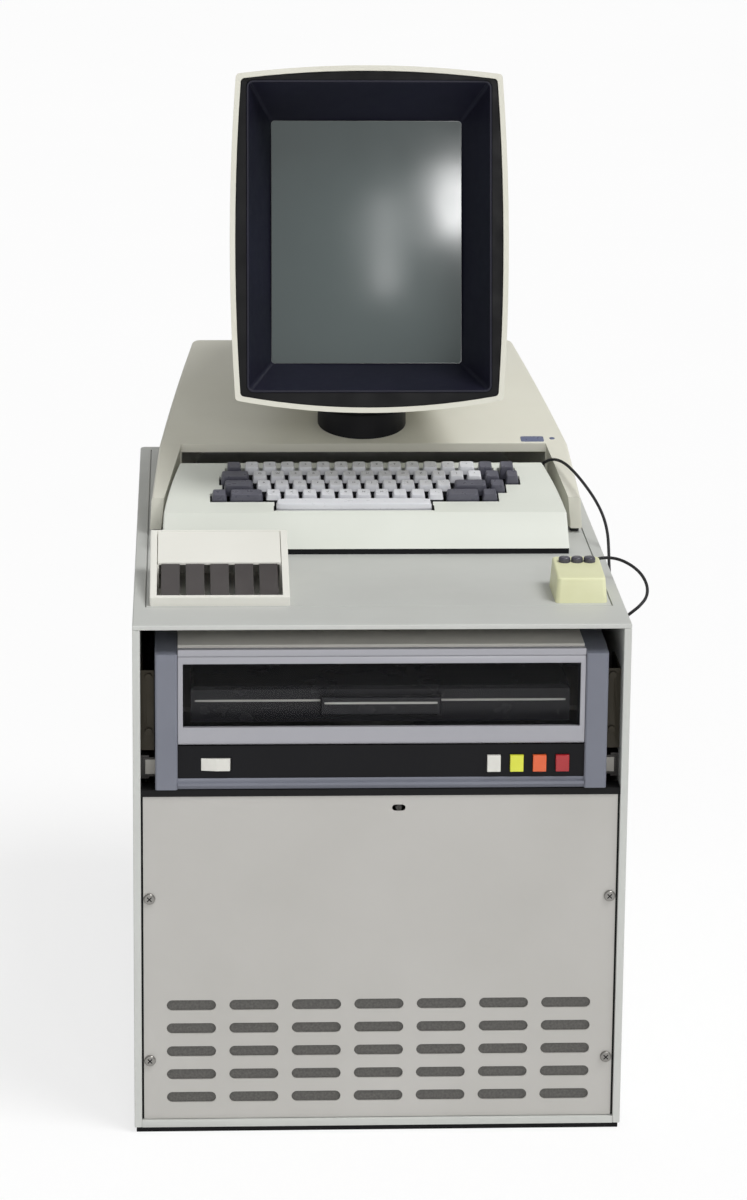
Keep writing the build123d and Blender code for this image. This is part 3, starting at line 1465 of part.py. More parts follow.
def mouse_cord():
    """The cord's tube along its route."""
    path = cord_wire()
    section = Plane(origin=path @ 0, z_dir=path % 0) * Circle(cord_radius)
    tube = sweep(section, path=path)
    ideal = math.pi * cord_radius * cord_radius * path.length
    print("cord length", round(path.length, 1), "volume over section times length", round(tube.volume / ideal, 5))
    return tube


def cord_glands():
    """The two strain reliefs: at the mouse's rear face and at the keyboard's rear face."""
    glands = []
    for x, y, z in (mouse_end, keyboard_end):
        x += half_width
        face = front + y - gland_length
        gland = rod(gland_radius, (x, face, desk + z), (x, face + gland_length, desk + z))
        glands.append(fillet(gland.edges().group_by(Axis.Y)[-1], gland_edge))
    return solids_of(glands)


keep("side_panels", side_panels())
keep("top_rim", top_rim())
keep("top_lid", top_lid())
keep("rear_panel", rear_panel())
keep("power_inlet", power_inlet())
keep("base_tray", base_tray())
keep("cabinet_frame", cabinet_frame())
keep("lower_panel", lower_panel())
keep("panel_screws", panel_screws())
keep("panel_latch", panel_latch())
keep("vent_mesh", vent_mesh())
keep("card_cage", card_cage())
keep("circuit_boards", circuit_boards())
keep("power_supply", power_supply())
keep("fan_frame", fan_frame())
keep("fan_rotor", fan_rotor())
keep("fixed_slide_rails", fixed_slide_rails())
keep("moving_slide_rails", moving_slide_rails())
keep("slide_brackets", slide_brackets())
keep("drive_bezel", drive_bezel())
keep("drive_chassis", drive_chassis())
keep("drive_spindle", drive_spindle())
keep("disk_cartridge", disk_cartridge())
keep("drive_top_plate", drive_top_plate())
keep("control_panel", control_panel())
keep("rocker_switch", rocker_switch())
keep("window_frame", window_frame())
keep("window_pane", window_pane())
for cap_index, cap_name in enumerate(("red_button", "lamp_orange", "lamp_yellow", "lamp_white")):
    cap_back = bulkhead - (button_travel + free_gap if cap_index == 0 else 0)
    keep(cap_name, front_cap(cap_index, cap_back))
keep("display_base", display_base())
keep("base_feet", base_feet())
keep("pedestal_base", pedestal_base())
keep("swivel_post", swivel_post())
keep("monitor_shell", monitor_shell())
keep("monitor_back", monitor_back())
keep("monitor_bezel", monitor_bezel())
keep("crt_tube", crt_tube())
keep("keyboard_case", keyboard_case())
keep("keyboard_base", keyboard_base())
keep("letter_keys", key_group("l"))
keep("number_keys", key_group("n"))
keep("dark_keys", key_group("d"))
keep("space_bar", key_group("s"))
keep("keyset_case", keyset_case())
keep("keyset_cover", keyset_cover())
keep("keyset_shaft", keyset_shaft())
for paddle_index in range(paddle_count):
    keep("paddle_" + str(paddle_index + 1), paddle(paddle_index))
keep("mouse_shell", mouse_shell())
for button_index, button_name in enumerate(("left", "middle", "right")):
    keep("mouse_button_" + button_name, mouse_button(button_index - 1))
keep("mouse_cord", mouse_cord())
keep("cord_glands", cord_glands())

for name, shape in made.items():
    export_step(shape, "parts/" + name + ".step")
print(len(made), "pieces written")
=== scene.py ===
# %% [markdown]
# A personal computer from the years when the disk drive filled a floor cabinet. The cabinet carries a
# display base with a swivelling portrait screen, a keyboard, a chord keyset and a three button mouse.
# The solids from the CAD model are the frame here, and this script dresses them in the same place.

# %% [markdown]
# Every piece has to know which moving body it rides on and which finish it belongs to. Both could be typed
# for each piece, but the frame already holds them, so two dictionaries are read from it once.

# %% Frame and helpers
import json
import math
import bmesh
import bpy
import numpy as np
from mathutils import Matrix, Vector


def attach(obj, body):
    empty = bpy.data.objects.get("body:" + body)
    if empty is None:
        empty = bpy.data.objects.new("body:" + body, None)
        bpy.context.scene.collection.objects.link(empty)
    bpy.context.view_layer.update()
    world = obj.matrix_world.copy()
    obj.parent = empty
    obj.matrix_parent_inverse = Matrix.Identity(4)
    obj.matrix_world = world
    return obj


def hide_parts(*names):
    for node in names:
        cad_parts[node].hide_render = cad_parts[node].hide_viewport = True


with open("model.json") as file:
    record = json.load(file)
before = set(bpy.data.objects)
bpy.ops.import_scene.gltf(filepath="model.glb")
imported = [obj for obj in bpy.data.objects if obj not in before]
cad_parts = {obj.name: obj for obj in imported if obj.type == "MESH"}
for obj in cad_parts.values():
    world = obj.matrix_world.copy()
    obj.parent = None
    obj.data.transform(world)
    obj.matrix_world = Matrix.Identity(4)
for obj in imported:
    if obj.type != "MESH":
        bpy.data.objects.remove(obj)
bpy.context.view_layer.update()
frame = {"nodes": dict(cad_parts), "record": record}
nodes = frame["nodes"]
body_of_node = {}
for body, names in frame["record"]["behaviour"]["bodies"].items():
    for name in names:
        body_of_node[name] = body
slot_of_node = {part["node"]: part["material_slot"] for part in frame["record"]["subparts"]}

# The cabinet's front face and its top, in metres.
FRONT = -0.381
DESK = 0.530


def place(x, behind, above):
    """A point in metres from millimetres: X from the middle, behind the front, above the cabinet's top."""
    return (x / 1000, FRONT + behind / 1000, DESK + above / 1000)


# %% [markdown]
# The camera stands a little left of the middle, four metres away and well above the desk height, with a
# long lens. It could be turned by hand until the picture looks right. Here its angles and place were worked
# out from the cabinet's corners in the photograph, because the eye misses a turn of half a degree.

# %% Camera
pitch, yaw, roll = math.radians(13.381), math.radians(2.834), math.radians(0.546)
camera_place = (-0.19175, -4.03496, 1.5699)
forward = Vector((math.sin(yaw) * math.cos(pitch), math.cos(yaw) * math.cos(pitch), -math.sin(pitch)))
level = Vector((math.cos(yaw), -math.sin(yaw), 0))
upright = level.cross(forward)
right = level * math.cos(roll) + upright * math.sin(roll)
up = upright * math.cos(roll) - level * math.sin(roll)
camera = bpy.data.objects.new("camera", bpy.data.cameras.new("camera"))
camera.data.sensor_width = 36
camera.data.lens = 116.585
camera.data.shift_y = -0.12
camera.data.clip_end = 200
turn = Matrix((right, up, -forward)).transposed()
camera.matrix_world = Matrix.Translation(camera_place) @ turn.to_4x4()
bpy.context.scene.collection.objects.link(camera)
bpy.context.scene.camera = camera
print("camera", [round(v, 3) for v in camera.location])

# %% [markdown]
# The mouse cord is a limp rubber cord. It leaves the mouse at its back, loops over the cabinet's right
# edge, hangs down and comes up again to the back of the keyboard. It could be simulated, but its loop is
# known from the photograph, so one spline through the same points as the CAD tube keeps both in one place.

# %% Mouse cord
# In metres. The tube's bevel is one metre deep, and each point's radius brings it down to this.
CORD_RADIUS = 0.0016
cord_route = (
    (213.5, 152, 16), (213.5, 162, 16), (220, 172, 18), (233, 176, 20.5), (247.5, 171, 21), (260, 158.5, 18),
    (269.5, 141, 13), (273.5, 119, 6.5), (271, 98, 0.5), (262.5, 85, -5.5), (253.5, 85.5, -13),
    (249.8, 96, -20), (249.3, 114, -26), (249.2, 142, -31), (249.3, 180, -34.5), (249.2, 216, -32),
    (249.6, 244, -24), (250.4, 264, -12.5), (251.5, 280, 1), (251.6, 295, 16), (248.5, 311, 30),
    (241.5, 330, 43), (232, 352, 54.5), (222, 373, 64), (212.5, 389.5, 70), (203.5, 401, 70.5),
    (196.5, 409.5, 66.5), (191.5, 417, 60.5), (187.3, 424.5, 52.5), (184.6, 424.8, 42.1),
    (184, 417.2, 35), (184, 407, 35),
)
cord_curve = bpy.data.curves.new("mouse_cord", "CURVE")
cord_curve.dimensions = "3D"
cord_curve.bevel_depth = 1.0
cord_curve.bevel_resolution = 4
cord_curve.resolution_u = 10
spline = cord_curve.splines.new("NURBS")
spline.points.add(len(cord_route) - 1)
for point, corner in zip(spline.points, cord_route):
    point.co = (*place(*corner), 1)
    point.radius = CORD_RADIUS
spline.order_u = 3
spline.use_endpoint_u = True
cord = bpy.data.objects.new("rubber_mouse_cord", cord_curve)
bpy.context.scene.collection.objects.link(cord)
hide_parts("mouse_cord")
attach(cord, "cabinet")
print("cord points", len(spline.points))

# %% [markdown]
# The light is one wide soft lamp from the right, above and in front, a weak one from the front, and a pale
# room all round. A picture of a studio could light it too, but two soft suns and a plain world keep every
# colour close to the way it is written. Two soft boxes behind the camera give the screen its pale glints.

# %% Light and room
world = bpy.data.worlds.new("room")
bpy.context.scene.world = world
world.use_nodes = True
world.node_tree.nodes["Background"].inputs["Color"].default_value = (1, 1, 1, 1)
world.node_tree.nodes["Background"].inputs["Strength"].default_value = 0.44


def sun(name, strength, angle, aim):
    """A distant lamp of a given softness, in degrees, whose light travels along aim."""
    lamp = bpy.data.lights.new(name, "SUN")
    lamp.energy = strength
    lamp.angle = math.radians(angle)
    holder = bpy.data.objects.new(name, lamp)
    holder.rotation_euler = Vector(aim).to_track_quat("-Z", "Y").to_euler()
    bpy.context.scene.collection.objects.link(holder)
    return holder


def window(name, where, aim, width, height, watts):
    """A soft box at a place in metres that faces a point, of a given width and height in metres."""
    lamp = bpy.data.lights.new(name, "AREA")
    lamp.shape = "RECTANGLE"
    lamp.size = width
    lamp.size_y = height
    lamp.energy = watts
    holder = bpy.data.objects.new(name, lamp)
    holder.location = where
    holder.rotation_euler = (Vector(aim) - Vector(where)).to_track_quat("-Z", "Y").to_euler()
    bpy.context.scene.collection.objects.link(holder)
    return holder


key_light = sun("key_light", strength=1.8, angle=26, aim=(-0.45, 0.3, -0.9))
front_light = sun("front_light", strength=0.32, angle=40, aim=(0.12, 1.0, -0.3))
screen_centre = (0, 0.03, 0.85)
bright_window = window("bright_window", (1.15, -5.6, 2.6), screen_centre, width=0.42, height=0.6, watts=26)
pale_window = window("pale_window", (0.45, -5.7, 2.2), screen_centre, width=0.24, height=0.9, watts=5)
bpy.context.scene.view_settings.view_transform = "Standard"
print("lamps", key_light.name, front_light.name, bright_window.name, pale_window.name)

# %% [markdown]
# The floor stands for the white sweep of a studio. A curved backdrop would do as well, but one flat square
# is enough when it is so wide that the picture never shows its edge.

# %% Floor
FLOOR_REACH = 60
floor_mesh = bpy.data.meshes.new("floor")
floor_mesh.from_pydata([(-FLOOR_REACH, -FLOOR_REACH, 0), (FLOOR_REACH, -FLOOR_REACH, 0),
                        (FLOOR_REACH, FLOOR_REACH, 0), (-FLOOR_REACH, FLOOR_REACH, 0)], [], [(0, 1, 2, 3)])
floor = bpy.data.objects.new("white_floor", floor_mesh)
bpy.context.scene.collection.objects.link(floor)
print("floor", 2 * FLOOR_REACH, "metres wide")


# %% [markdown]
# Paint, plastic and metal all differ a little from place to place. Painted pictures could show that, but
# noise needs no unwrapping and fits any piece. So every finish is made the same way: two tones of one
# colour drift over the surface in a large noise, a second noise varies the gloss, and a fine noise gives
# the grain of paint, moulded plastic or metal.

# %% Finishes
def linear(red, green, blue):
    """Linear colour from the 0 to 255 values that a screen shows."""
    values = np.array((red, green, blue)) / 255
    low = values / 12.92
    high = ((values + 0.055) / 1.055) ** 2.4
    return tuple(np.where(values <= 0.04045, low, high)) + (1.0,)


def finish_of(name, dark, light, rough, grain, depth, drift=9.0, metallic=0.0, coat=0.0, stretch=(1, 1, 1),
              mirror=0.5):
    """A finish between a dark and a light tone. rough is its lowest and highest roughness, grain the size
    of its texture in metres, depth the height of that grain in metres, drift how many colour patches fill
    a metre, stretch how the noises are drawn out, mirror how strongly it mirrors at a right angle, where
    0.5 is common plastic."""
    material = bpy.data.materials.new(name)
    material.use_nodes = True
    tree = material.node_tree
    shader = tree.nodes["Principled BSDF"]
    shader.inputs["Metallic"].default_value = metallic
    shader.inputs["Coat Weight"].default_value = coat
    shader.inputs["Specular IOR Level"].default_value = mirror
    where = tree.nodes.new("ShaderNodeTexCoord")
    scale = tree.nodes.new("ShaderNodeMapping")
    scale.inputs["Scale"].default_value = stretch
    tree.links.new(where.outputs["Object"], scale.inputs["Vector"])

    def noise(density, detail):
        """A noise with so many patches in a metre."""
        node = tree.nodes.new("ShaderNodeTexNoise")
        node.inputs["Scale"].default_value = density
        node.inputs["Detail"].default_value = detail
        tree.links.new(scale.outputs["Vector"], node.inputs["Vector"])
        return node.outputs["Fac"]

    tones = tree.nodes.new("ShaderNodeMix")
    tones.data_type = "RGBA"
    tones.inputs["A"].default_value = linear(*dark)
    tones.inputs["B"].default_value = linear(*light)
    tree.links.new(noise(drift, detail=4), tones.inputs["Factor"])
    tree.links.new(tones.outputs["Result"], shader.inputs["Base Color"])
    gloss = tree.nodes.new("ShaderNodeMapRange")
    gloss.inputs["From Min"].default_value = 0.3
    gloss.inputs["From Max"].default_value = 0.7
    gloss.inputs["To Min"].default_value = rough[0]
    gloss.inputs["To Max"].default_value = rough[1]
    tree.links.new(noise(drift * 4, detail=3), gloss.inputs["Value"])
    tree.links.new(gloss.outputs["Result"], shader.inputs["Roughness"])
    relief = tree.nodes.new("ShaderNodeBump")
    relief.inputs["Strength"].default_value = 0.6
    relief.inputs["Distance"].default_value = depth
    tree.links.new(noise(1 / grain, detail=2), relief.inputs["Height"])
    tree.links.new(relief.outputs["Normal"], shader.inputs["Normal"])
    return material


# %% [markdown]
# A white floor in a photograph is brighter than paper under the same lamps. More light would bleach the
# object, so the floor glows instead, but only where the camera sees it or metal and glass mirror it. About
# a quarter of what they see stays plain white paint, which keeps a faint shadow.

# %% White floor
# The share of the floor that glows.
FLOOR_GLOW = 0.72
sweep = finish_of("floor_white", (249, 249, 249), (253, 253, 253), rough=(0.85, 0.95), grain=0.01,
                  depth=0.0002, drift=1.0)
floor_tree = sweep.node_tree
glow = floor_tree.nodes.new("ShaderNodeEmission")
ray = floor_tree.nodes.new("ShaderNodeLightPath")
share = floor_tree.nodes.new("ShaderNodeMath")
share.operation = "MULTIPLY"
share.inputs[1].default_value = FLOOR_GLOW
seen = ray.outputs["Is Camera Ray"]
for kind in ("Is Glossy Ray", "Is Transmission Ray"):
    either = floor_tree.nodes.new("ShaderNodeMath")
    either.operation = "MAXIMUM"
    floor_tree.links.new(seen, either.inputs[0])
    floor_tree.links.new(ray.outputs[kind], either.inputs[1])
    seen = either.outputs["Value"]
mixed = floor_tree.nodes.new("ShaderNodeMixShader")
floor_tree.links.new(seen, share.inputs[0])
floor_tree.links.new(share.outputs["Value"], mixed.inputs["Fac"])
floor_tree.links.new(floor_tree.nodes["Principled BSDF"].outputs["BSDF"], mixed.inputs[1])
floor_tree.links.new(glow.outputs["Emission"], mixed.inputs[2])
floor_tree.links.new(mixed.outputs["Shader"], floor_tree.nodes["Material Output"].inputs["Surface"])
floor.data.materials.append(sweep)
print("floor finish", sweep.name)

# %% [markdown]
# The cabinet is folded sheet steel in a pale green-grey stove enamel with a slight orange peel. The
# lower panel is the same paint, a little warmer and darker with age. Flat colour would look like card, so
# each paint takes its grain from the shared finish, with its own two tones.

# %% Painted metal
enamel = {"rough": (0.42, 0.55), "grain": 0.0012, "depth": 0.00002}
finishes = {
    "cabinet_paint": finish_of("cabinet_enamel", (186, 187, 183), (198, 200, 196), **enamel),
    "panel_paint": finish_of("panel_enamel", (174, 172, 167), (186, 184, 180), **enamel),
    "dark_steel": finish_of("black_steel", (10, 10, 11), (18, 18, 19), rough=(0.5, 0.65), grain=0.0012,
                            depth=0.00002, mirror=0.2),
    "mesh_grey": finish_of("woven_mesh", (52, 51, 49), (106, 104, 100), rough=(0.45, 0.6), grain=0.0011,
                           depth=0.0003, drift=420.0),
    "bar_paint": finish_of("slate_enamel", (104, 107, 118), (120, 123, 134), rough=(0.35, 0.5),
                           grain=0.0012, depth=0.00002),
    "olive_steel": finish_of("olive_plating", (36, 32, 22), (58, 51, 35), rough=(0.3, 0.5), grain=0.002,
                             depth=0.00002, metallic=0.4),
}
print("painted", len(finishes))

# %% [markdown]
# Bare metal is plated and even, or brushed or rolled along its length. Scratches could be modelled, but at
# this distance it is enough to draw the noise of the brushed and rolled kinds out along one direction.

# %% Bare metal
along_x = (0.05, 1, 1)
finishes["bright_steel"] = finish_of("bright_steel", (122, 120, 116), (156, 154, 150), rough=(0.22, 0.38),
                                     grain=0.0008, depth=0.00001, metallic=0.9)
finishes["bare_aluminium"] = finish_of("rolled_aluminium", (166, 163, 156), (190, 187, 180),
                                       rough=(0.35, 0.5), grain=0.001, depth=0.00001, metallic=0.2,
                                       stretch=along_x)
# Painted shade: darker steel for the rails in the side gap and for the latch round its hole.
finishes["shaded_steel"] = finish_of("shaded_steel", (46, 45, 44), (78, 76, 74), rough=(0.3, 0.45),
                                   grain=0.0008, depth=0.00002, drift=60.0, metallic=0.7)
# Painted light: the drive's top plate is made brighter, for the light it catches under the cabinet's lip.
finishes["plate_painted_light"] = finish_of("painted_light_plate", (226, 223, 216), (240, 237, 230), rough=(0.35, 0.5),
                                     grain=0.001, depth=0.00001, stretch=along_x)
finishes["trim_silver"] = finish_of("brushed_trim", (152, 152, 158), (172, 172, 178), rough=(0.3, 0.42),
                                    grain=0.0007, depth=0.00001, metallic=0.35, stretch=along_x)
print("finishes", len(finishes))

# %% [markdown]
# The plastics are moulded. The cream ones have yellowed unevenly, the black ones keep a fine leather
# grain, and the key tops are glossier where fingers have polished them. One finish for all would look like
# a toy, so each casing has its own tones, and families share their gloss and grain.

# %% Cream and dark plastics
moulded = {"rough": (0.42, 0.46), "grain": 0.0009, "depth": 0.00003}
key_top = {"rough": (0.25, 0.4), "grain": 0.0006, "depth": 0.00002, "drift": 40.0}
finishes["hood_cream"] = finish_of("hood_cream", (206, 204, 190), (218, 217, 206), **moulded)
finishes["keyboard_shell"] = finish_of("keyboard_shell", (208, 211, 202), (220, 223, 215), **moulded)
finishes["keyset_cream"] = finish_of("keyset_cream", (222, 221, 212), (234, 233, 226), **moulded)
finishes["mouse_cream"] = finish_of("mouse_cream", (214, 214, 170), (228, 229, 192), rough=(0.35, 0.48),
                                    grain=0.0009, depth=0.00003, drift=30.0)
finishes["light_keys"] = finish_of("light_keys", (210, 211, 216), (224, 225, 229), **key_top)
finishes["dark_keys"] = finish_of("dark_keys", (76, 76, 87), (92, 92, 103), **key_top)
finishes["paddle_dark"] = finish_of("paddle_dark", (62, 58, 58), (80, 76, 75), rough=(0.3, 0.45),
                                    grain=0.0006, depth=0.00002, drift=25.0, mirror=0.35)
finishes["mouse_buttons"] = finish_of("mouse_buttons", (62, 60, 70), (78, 76, 86), rough=(0.2, 0.3),
                                      grain=0.0006, depth=0.00001, drift=60.0)
finishes["black_plastic"] = finish_of("black_plastic", (10, 10, 13), (18, 18, 22), rough=(0.35, 0.5),
                                      grain=0.0009, depth=0.00003, mirror=0.18)
finishes["bezel_dark"] = finish_of("bezel_navy", (20, 20, 30), (32, 32, 48), rough=(0.35, 0.5),
                                   grain=0.0009, depth=0.00002, mirror=0.25)
# This black is the screen's front plate, and the painted shade on the plinth, screw cuts and slots.
finishes["black_and_painted_shade"] = finish_of("black_plate_and_shade", (6, 6, 8), (12, 12, 15), rough=(0.3, 0.45),
                                    grain=0.0009, depth=0.00002, mirror=0.15)
finishes["cartridge"] = finish_of("cartridge", (26, 26, 30), (40, 40, 46), rough=(0.2, 0.3), grain=0.001,
                                  depth=0.00001)
print("finishes", len(finishes))

# %% [markdown]
# The cord is rubber, the lamp caps are glossy coloured plastic, the tube's face is grey glass and the
# drive's window is smoked. Real glass could bend the light, but a thin pane hardly does, so the smoke is
# only a dark mirror that lets most of the light through.

# %% Rubber, lamp caps and glass
lamp_cap = {"rough": (0.15, 0.25), "grain": 0.001, "depth": 0.00001, "drift": 60.0, "coat": 0.3}
# The share of the light that the smoked pane holds back.
SMOKE = 0.18
finishes["rubber"] = finish_of("black_rubber", (32, 32, 34), (48, 48, 50), rough=(0.5, 0.65), grain=0.0006,
                               depth=0.00002, drift=50.0, mirror=0.25)
finishes["board_green"] = finish_of("board_green", (20, 84, 44), (36, 110, 60), rough=(0.3, 0.45),
                                    grain=0.002, depth=0.00002, drift=60.0)
finishes["lamp_white"] = finish_of("lamp_white", (206, 205, 198), (220, 219, 212), **lamp_cap)
finishes["lamp_yellow"] = finish_of("lamp_yellow", (204, 206, 52), (218, 222, 70), **lamp_cap)
finishes["lamp_orange"] = finish_of("lamp_orange", (206, 84, 38), (224, 100, 52), **lamp_cap)
finishes["button_red"] = finish_of("button_red", (150, 20, 28), (170, 32, 38), **lamp_cap)
finishes["tube_glass"] = finish_of("tube_glass", (60, 71, 71), (72, 84, 83), rough=(0.12, 0.15), grain=0.02,
                                   depth=0.00001, drift=5.0)
finishes["smoked_pane"] = finish_of("smoked_pane", (6, 6, 8), (12, 12, 16), rough=(0.03, 0.06), grain=0.05,
                                    depth=0.000002, drift=6.0, mirror=0.3)
smoke_shader = finishes["smoked_pane"].node_tree.nodes["Principled BSDF"]
smoke_shader.inputs["Alpha"].default_value = SMOKE
cord_curve.materials.append(finishes["rubber"])
print("finishes", len(finishes))

# %% [markdown]
# Each solid from the CAD model takes the finish of its slot. The rails and the latch get darker steel, as
# painted shade in the side gap and round the latch's hole. The drive's top plate is painted brighter than
# the rest of its metal, as painted light under the cabinet's lip. So these four are named apart.

# %% Finishes on the solids
own_finish = {"fixed_slide_rails": "shaded_steel", "moving_slide_rails": "shaded_steel",
              "panel_latch": "shaded_steel", "drive_top_plate": "plate_painted_light"}
for name, node in nodes.items():
    for material_slot in node.material_slots:
        material_slot.link = "OBJECT"
        material_slot.material = finishes[own_finish.get(name, slot_of_node[name])]
print("slots without a finish", sorted(set(slot_of_node.values()) - set(finishes)))


# %% [markdown]
# Real edges are never razor sharp. They could be rounded in the CAD model, which would make it heavy. Here
# each visible solid is dressed with a copy of itself whose flat faces are joined again and whose corners
# get a small bevel, so that they catch the light.

# %% Softened copies
# Corners nearer than the merge distance, in metres, become one. Faces that bend less than the flat bend are
# joined, and edges that bend more than the corner bend are bevelled.
MERGE_DISTANCE = 2e-6
BEVEL_STEPS = 2
FLAT_BEND = math.radians(0.6)
CORNER_BEND = math.radians(32.0)


def softened(node, width):
    """A copy of a solid's mesh with merged corners and small bevels, width in millimetres. The screen
    housing keeps its triangles, so that its bowed rim stays just as the solid has it."""
    mesh = nodes[node].data.copy()
    mesh.name = node + "_soft"
    shape = bmesh.new()
    shape.from_mesh(mesh)
    bmesh.ops.remove_doubles(shape, verts=shape.verts, dist=MERGE_DISTANCE)
    if node != "monitor_shell":
        bmesh.ops.dissolve_limit(shape, angle_limit=FLAT_BEND, verts=shape.verts, edges=shape.edges)
    shape.to_mesh(mesh)
    shape.free()
    mesh.polygons.foreach_set("use_smooth", np.ones(len(mesh.polygons), dtype=bool))
    mesh.set_sharp_from_angle(angle=CORNER_BEND)
    piece = bpy.data.objects.new(node + "_dressed", mesh)
    bpy.context.scene.collection.objects.link(piece)
    mesh.materials.clear()
    mesh.materials.append(nodes[node].material_slots[0].material)
    edge = piece.modifiers.new("worn_edge", "BEVEL")
    edge.width = width / 1000
    edge.segments = BEVEL_STEPS
    edge.limit_method = "ANGLE"
    edge.angle_limit = CORNER_BEND
    edge.harden_normals = True
    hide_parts(node)
    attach(piece, body_of_node[node])
    return piece


# How wide each piece's worn edge is, in millimetres.
edge_widths = {
    "side_panels": 0.8, "top_rim": 0.6, "top_lid": 0.5, "lower_panel": 0.5, "base_tray": 0.5,
    "rear_panel": 0.3, "cabinet_frame": 0.4, "drive_bezel": 0.6, "window_frame": 0.4, "window_pane": 0.3,
    "control_panel": 0.3, "rocker_switch": 0.4, "lamp_white": 0.4, "lamp_yellow": 0.4, "lamp_orange": 0.4,
    "red_button": 0.4, "drive_top_plate": 0.4, "display_base": 1.2, "pedestal_base": 0.8,
    "monitor_shell": 0.9, "monitor_bezel": 0.8, "monitor_back": 0.6, "keyboard_case": 0.6,
    "keyboard_base": 0.5, "keyset_case": 0.8, "keyset_cover": 0.5, "mouse_shell": 0.5,
    "slide_brackets": 0.4, "panel_screws": 0.2, "panel_latch": 0.2,
}
for number in range(1, 6):
    edge_widths["paddle_%d" % number] = 0.4
for side in ("left", "middle", "right"):
    edge_widths["mouse_button_" + side] = 0.2
dressed = {node: softened(node, width) for node, width in edge_widths.items()}
print("softened", len(dressed))

# %% [markdown]
# The front of the screen housing is a black plate, and only the funnel behind it is navy. Both are one
# moulding. Splitting it would leave a seam, so the plate's faces get the black finish by their place just
# behind the rim and by the way they face.

# %% Black plate round the screen
# The screen leans back by 12 degrees round the middle of its rim. Lengths are in metres here.
lean = math.radians(12)
rim_middle = np.array((0, -0.036, 0.85))
inwards = np.array((0, math.cos(lean), -math.sin(lean)))
upwards = np.array((0, math.sin(lean), math.cos(lean)))
plate_nearest = 0.0032
plate_furthest = 0.006
facing_out = -0.9
bezel = dressed["monitor_bezel"].data
bezel.materials.append(finishes["black_and_painted_shade"])
centres = np.empty(len(bezel.polygons) * 3)
normals = np.empty(len(bezel.polygons) * 3)
bezel.polygons.foreach_get("center", centres)
bezel.polygons.foreach_get("normal", normals)
depths = (centres.reshape(-1, 3) - rim_middle) @ inwards
facing = normals.reshape(-1, 3) @ inwards
on_plate = (facing < facing_out) & (depths > plate_nearest) & (depths < plate_furthest)
bezel.polygons.foreach_set("material_index", on_plate.astype(int))
print("plate faces", int(on_plate.sum()))

# %% [markdown]
# The cabinet stands on a plinth, folded from the same tray as its floor, with a dark line of shade under
# it. A piece of its own could show that line, but the tray has the plinth's shape already, so its lowest
# faces are painted black as that shade.

# %% Plinth painted dark as shade
# In metres above the floor.
plinth_top = 0.00535
tray = dressed["base_tray"].data
tray.materials.append(finishes["black_and_painted_shade"])
centres = np.empty(len(tray.polygons) * 3)
tray.polygons.foreach_get("center", centres)
# The lowest faces take the black finish: painted shade under the cabinet.
in_plinth_shade = centres.reshape(-1, 3)[:, 2] < plinth_top
tray.polygons.foreach_set("material_index", in_plinth_shade.astype(int))
print("plinth faces", int(in_plinth_shade.sum()))

# %% [markdown]
# The keys stand in five rows on a sloping deck, a key's width of 19.05 mm apart. Their places could be
# typed one by one, but a keyboard is planned in key widths, so each row is a start and a line of words. A
# word is a kind and a width: l letter, n number, d dark key, s space bar and g gap. The last text of a
# row holds its legends.

# %% Key layout
KEY_PITCH = 19.05
KEY_ROWS = (
    (-4.99, "s8.75", " "),
    (-8.54, "d1 d2 l1 l1 l1 l1 l1 l1 l1 l1 l1 l1 d2 d1", "ZXCVBNM,./"),
    (-7.85, "d1.8 l1 l1 l1 l1 l1 l1 l1 l1 l1 l1 l1 d2 d1", "ASDFGHJKL;'"),
    (-8.02, "d1.76 l1 l1 l1 l1 l1 l1 l1 l1 l1 l1 l1 l1 l1 d1 g0.15 d0.9", "QWERTYUIOP[]+"),
    (-7.69, "d1 n1 n1 n1 n1 n1 n1 n1 n1 n1 n1 n1 n1 n1.1 d1 g0.2 d1", "1234567890-=*"),
)
# All in millimetres: the first row's middle behind the deck's front edge, the keyboard's middle in X, and
# the deck's front and back edge behind the cabinet's front and above its top.
FIRST_ROW = 14.5
keyboard_middle = -4
deck_front = 293
deck_front_height = 39
deck_back = 402.0
deck_back_height = 66.3
key_angle = math.atan2(deck_back_height - deck_front_height, deck_back - deck_front)
deck_corner = place(keyboard_middle, deck_front, deck_front_height)
deck = Matrix.Translation(deck_corner) @ Matrix.Rotation(key_angle, 4, "X")


def key_places():
    """Each key as kind, row, middle in X, width and legend, in millimetres on the deck."""
    for row, (start, words, legends) in enumerate(KEY_ROWS):
        left = start * KEY_PITCH
        signs = iter(legends)
        for word in words.split():
            width = float(word[1:]) * KEY_PITCH
            if word[0] != "g":
                yield word[0], row, left + width / 2, width, next(signs, "") if word[0] in "lns" else ""
            left += width


def on_deck(points):
    """Points in millimetres on the sloping deck, moved to their place in metres."""
    return points / 1000 @ np.array(deck.to_3x3()).T + np.array(deck.translation)


print("keys", sum(1 for key in key_places()))


# %% [markdown]
# New pieces all begin in the same way: a table of points worked out by a formula, and faces that name their
# corners by number. A primitive pushed into shape would work too, but whole tables are quick and exact.
# These two helpers turn the tables into an object and close a stack of rings at both ends.

# %% Mesh helpers
def mesh_piece(name, points, faces, body, slot, finish=None):
    """A smooth mesh object from rows of points in metres and faces of point numbers, riding on a body."""
    mesh = bpy.data.meshes.new(name)
    mesh.from_pydata(points.tolist(), [], faces)
    mesh.polygons.foreach_set("use_smooth", np.ones(len(mesh.polygons), dtype=bool))
    mesh.materials.append(finishes[finish or slot])
    piece = bpy.data.objects.new(name, mesh)
    bpy.context.scene.collection.objects.link(piece)
    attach(piece, body)
    return piece


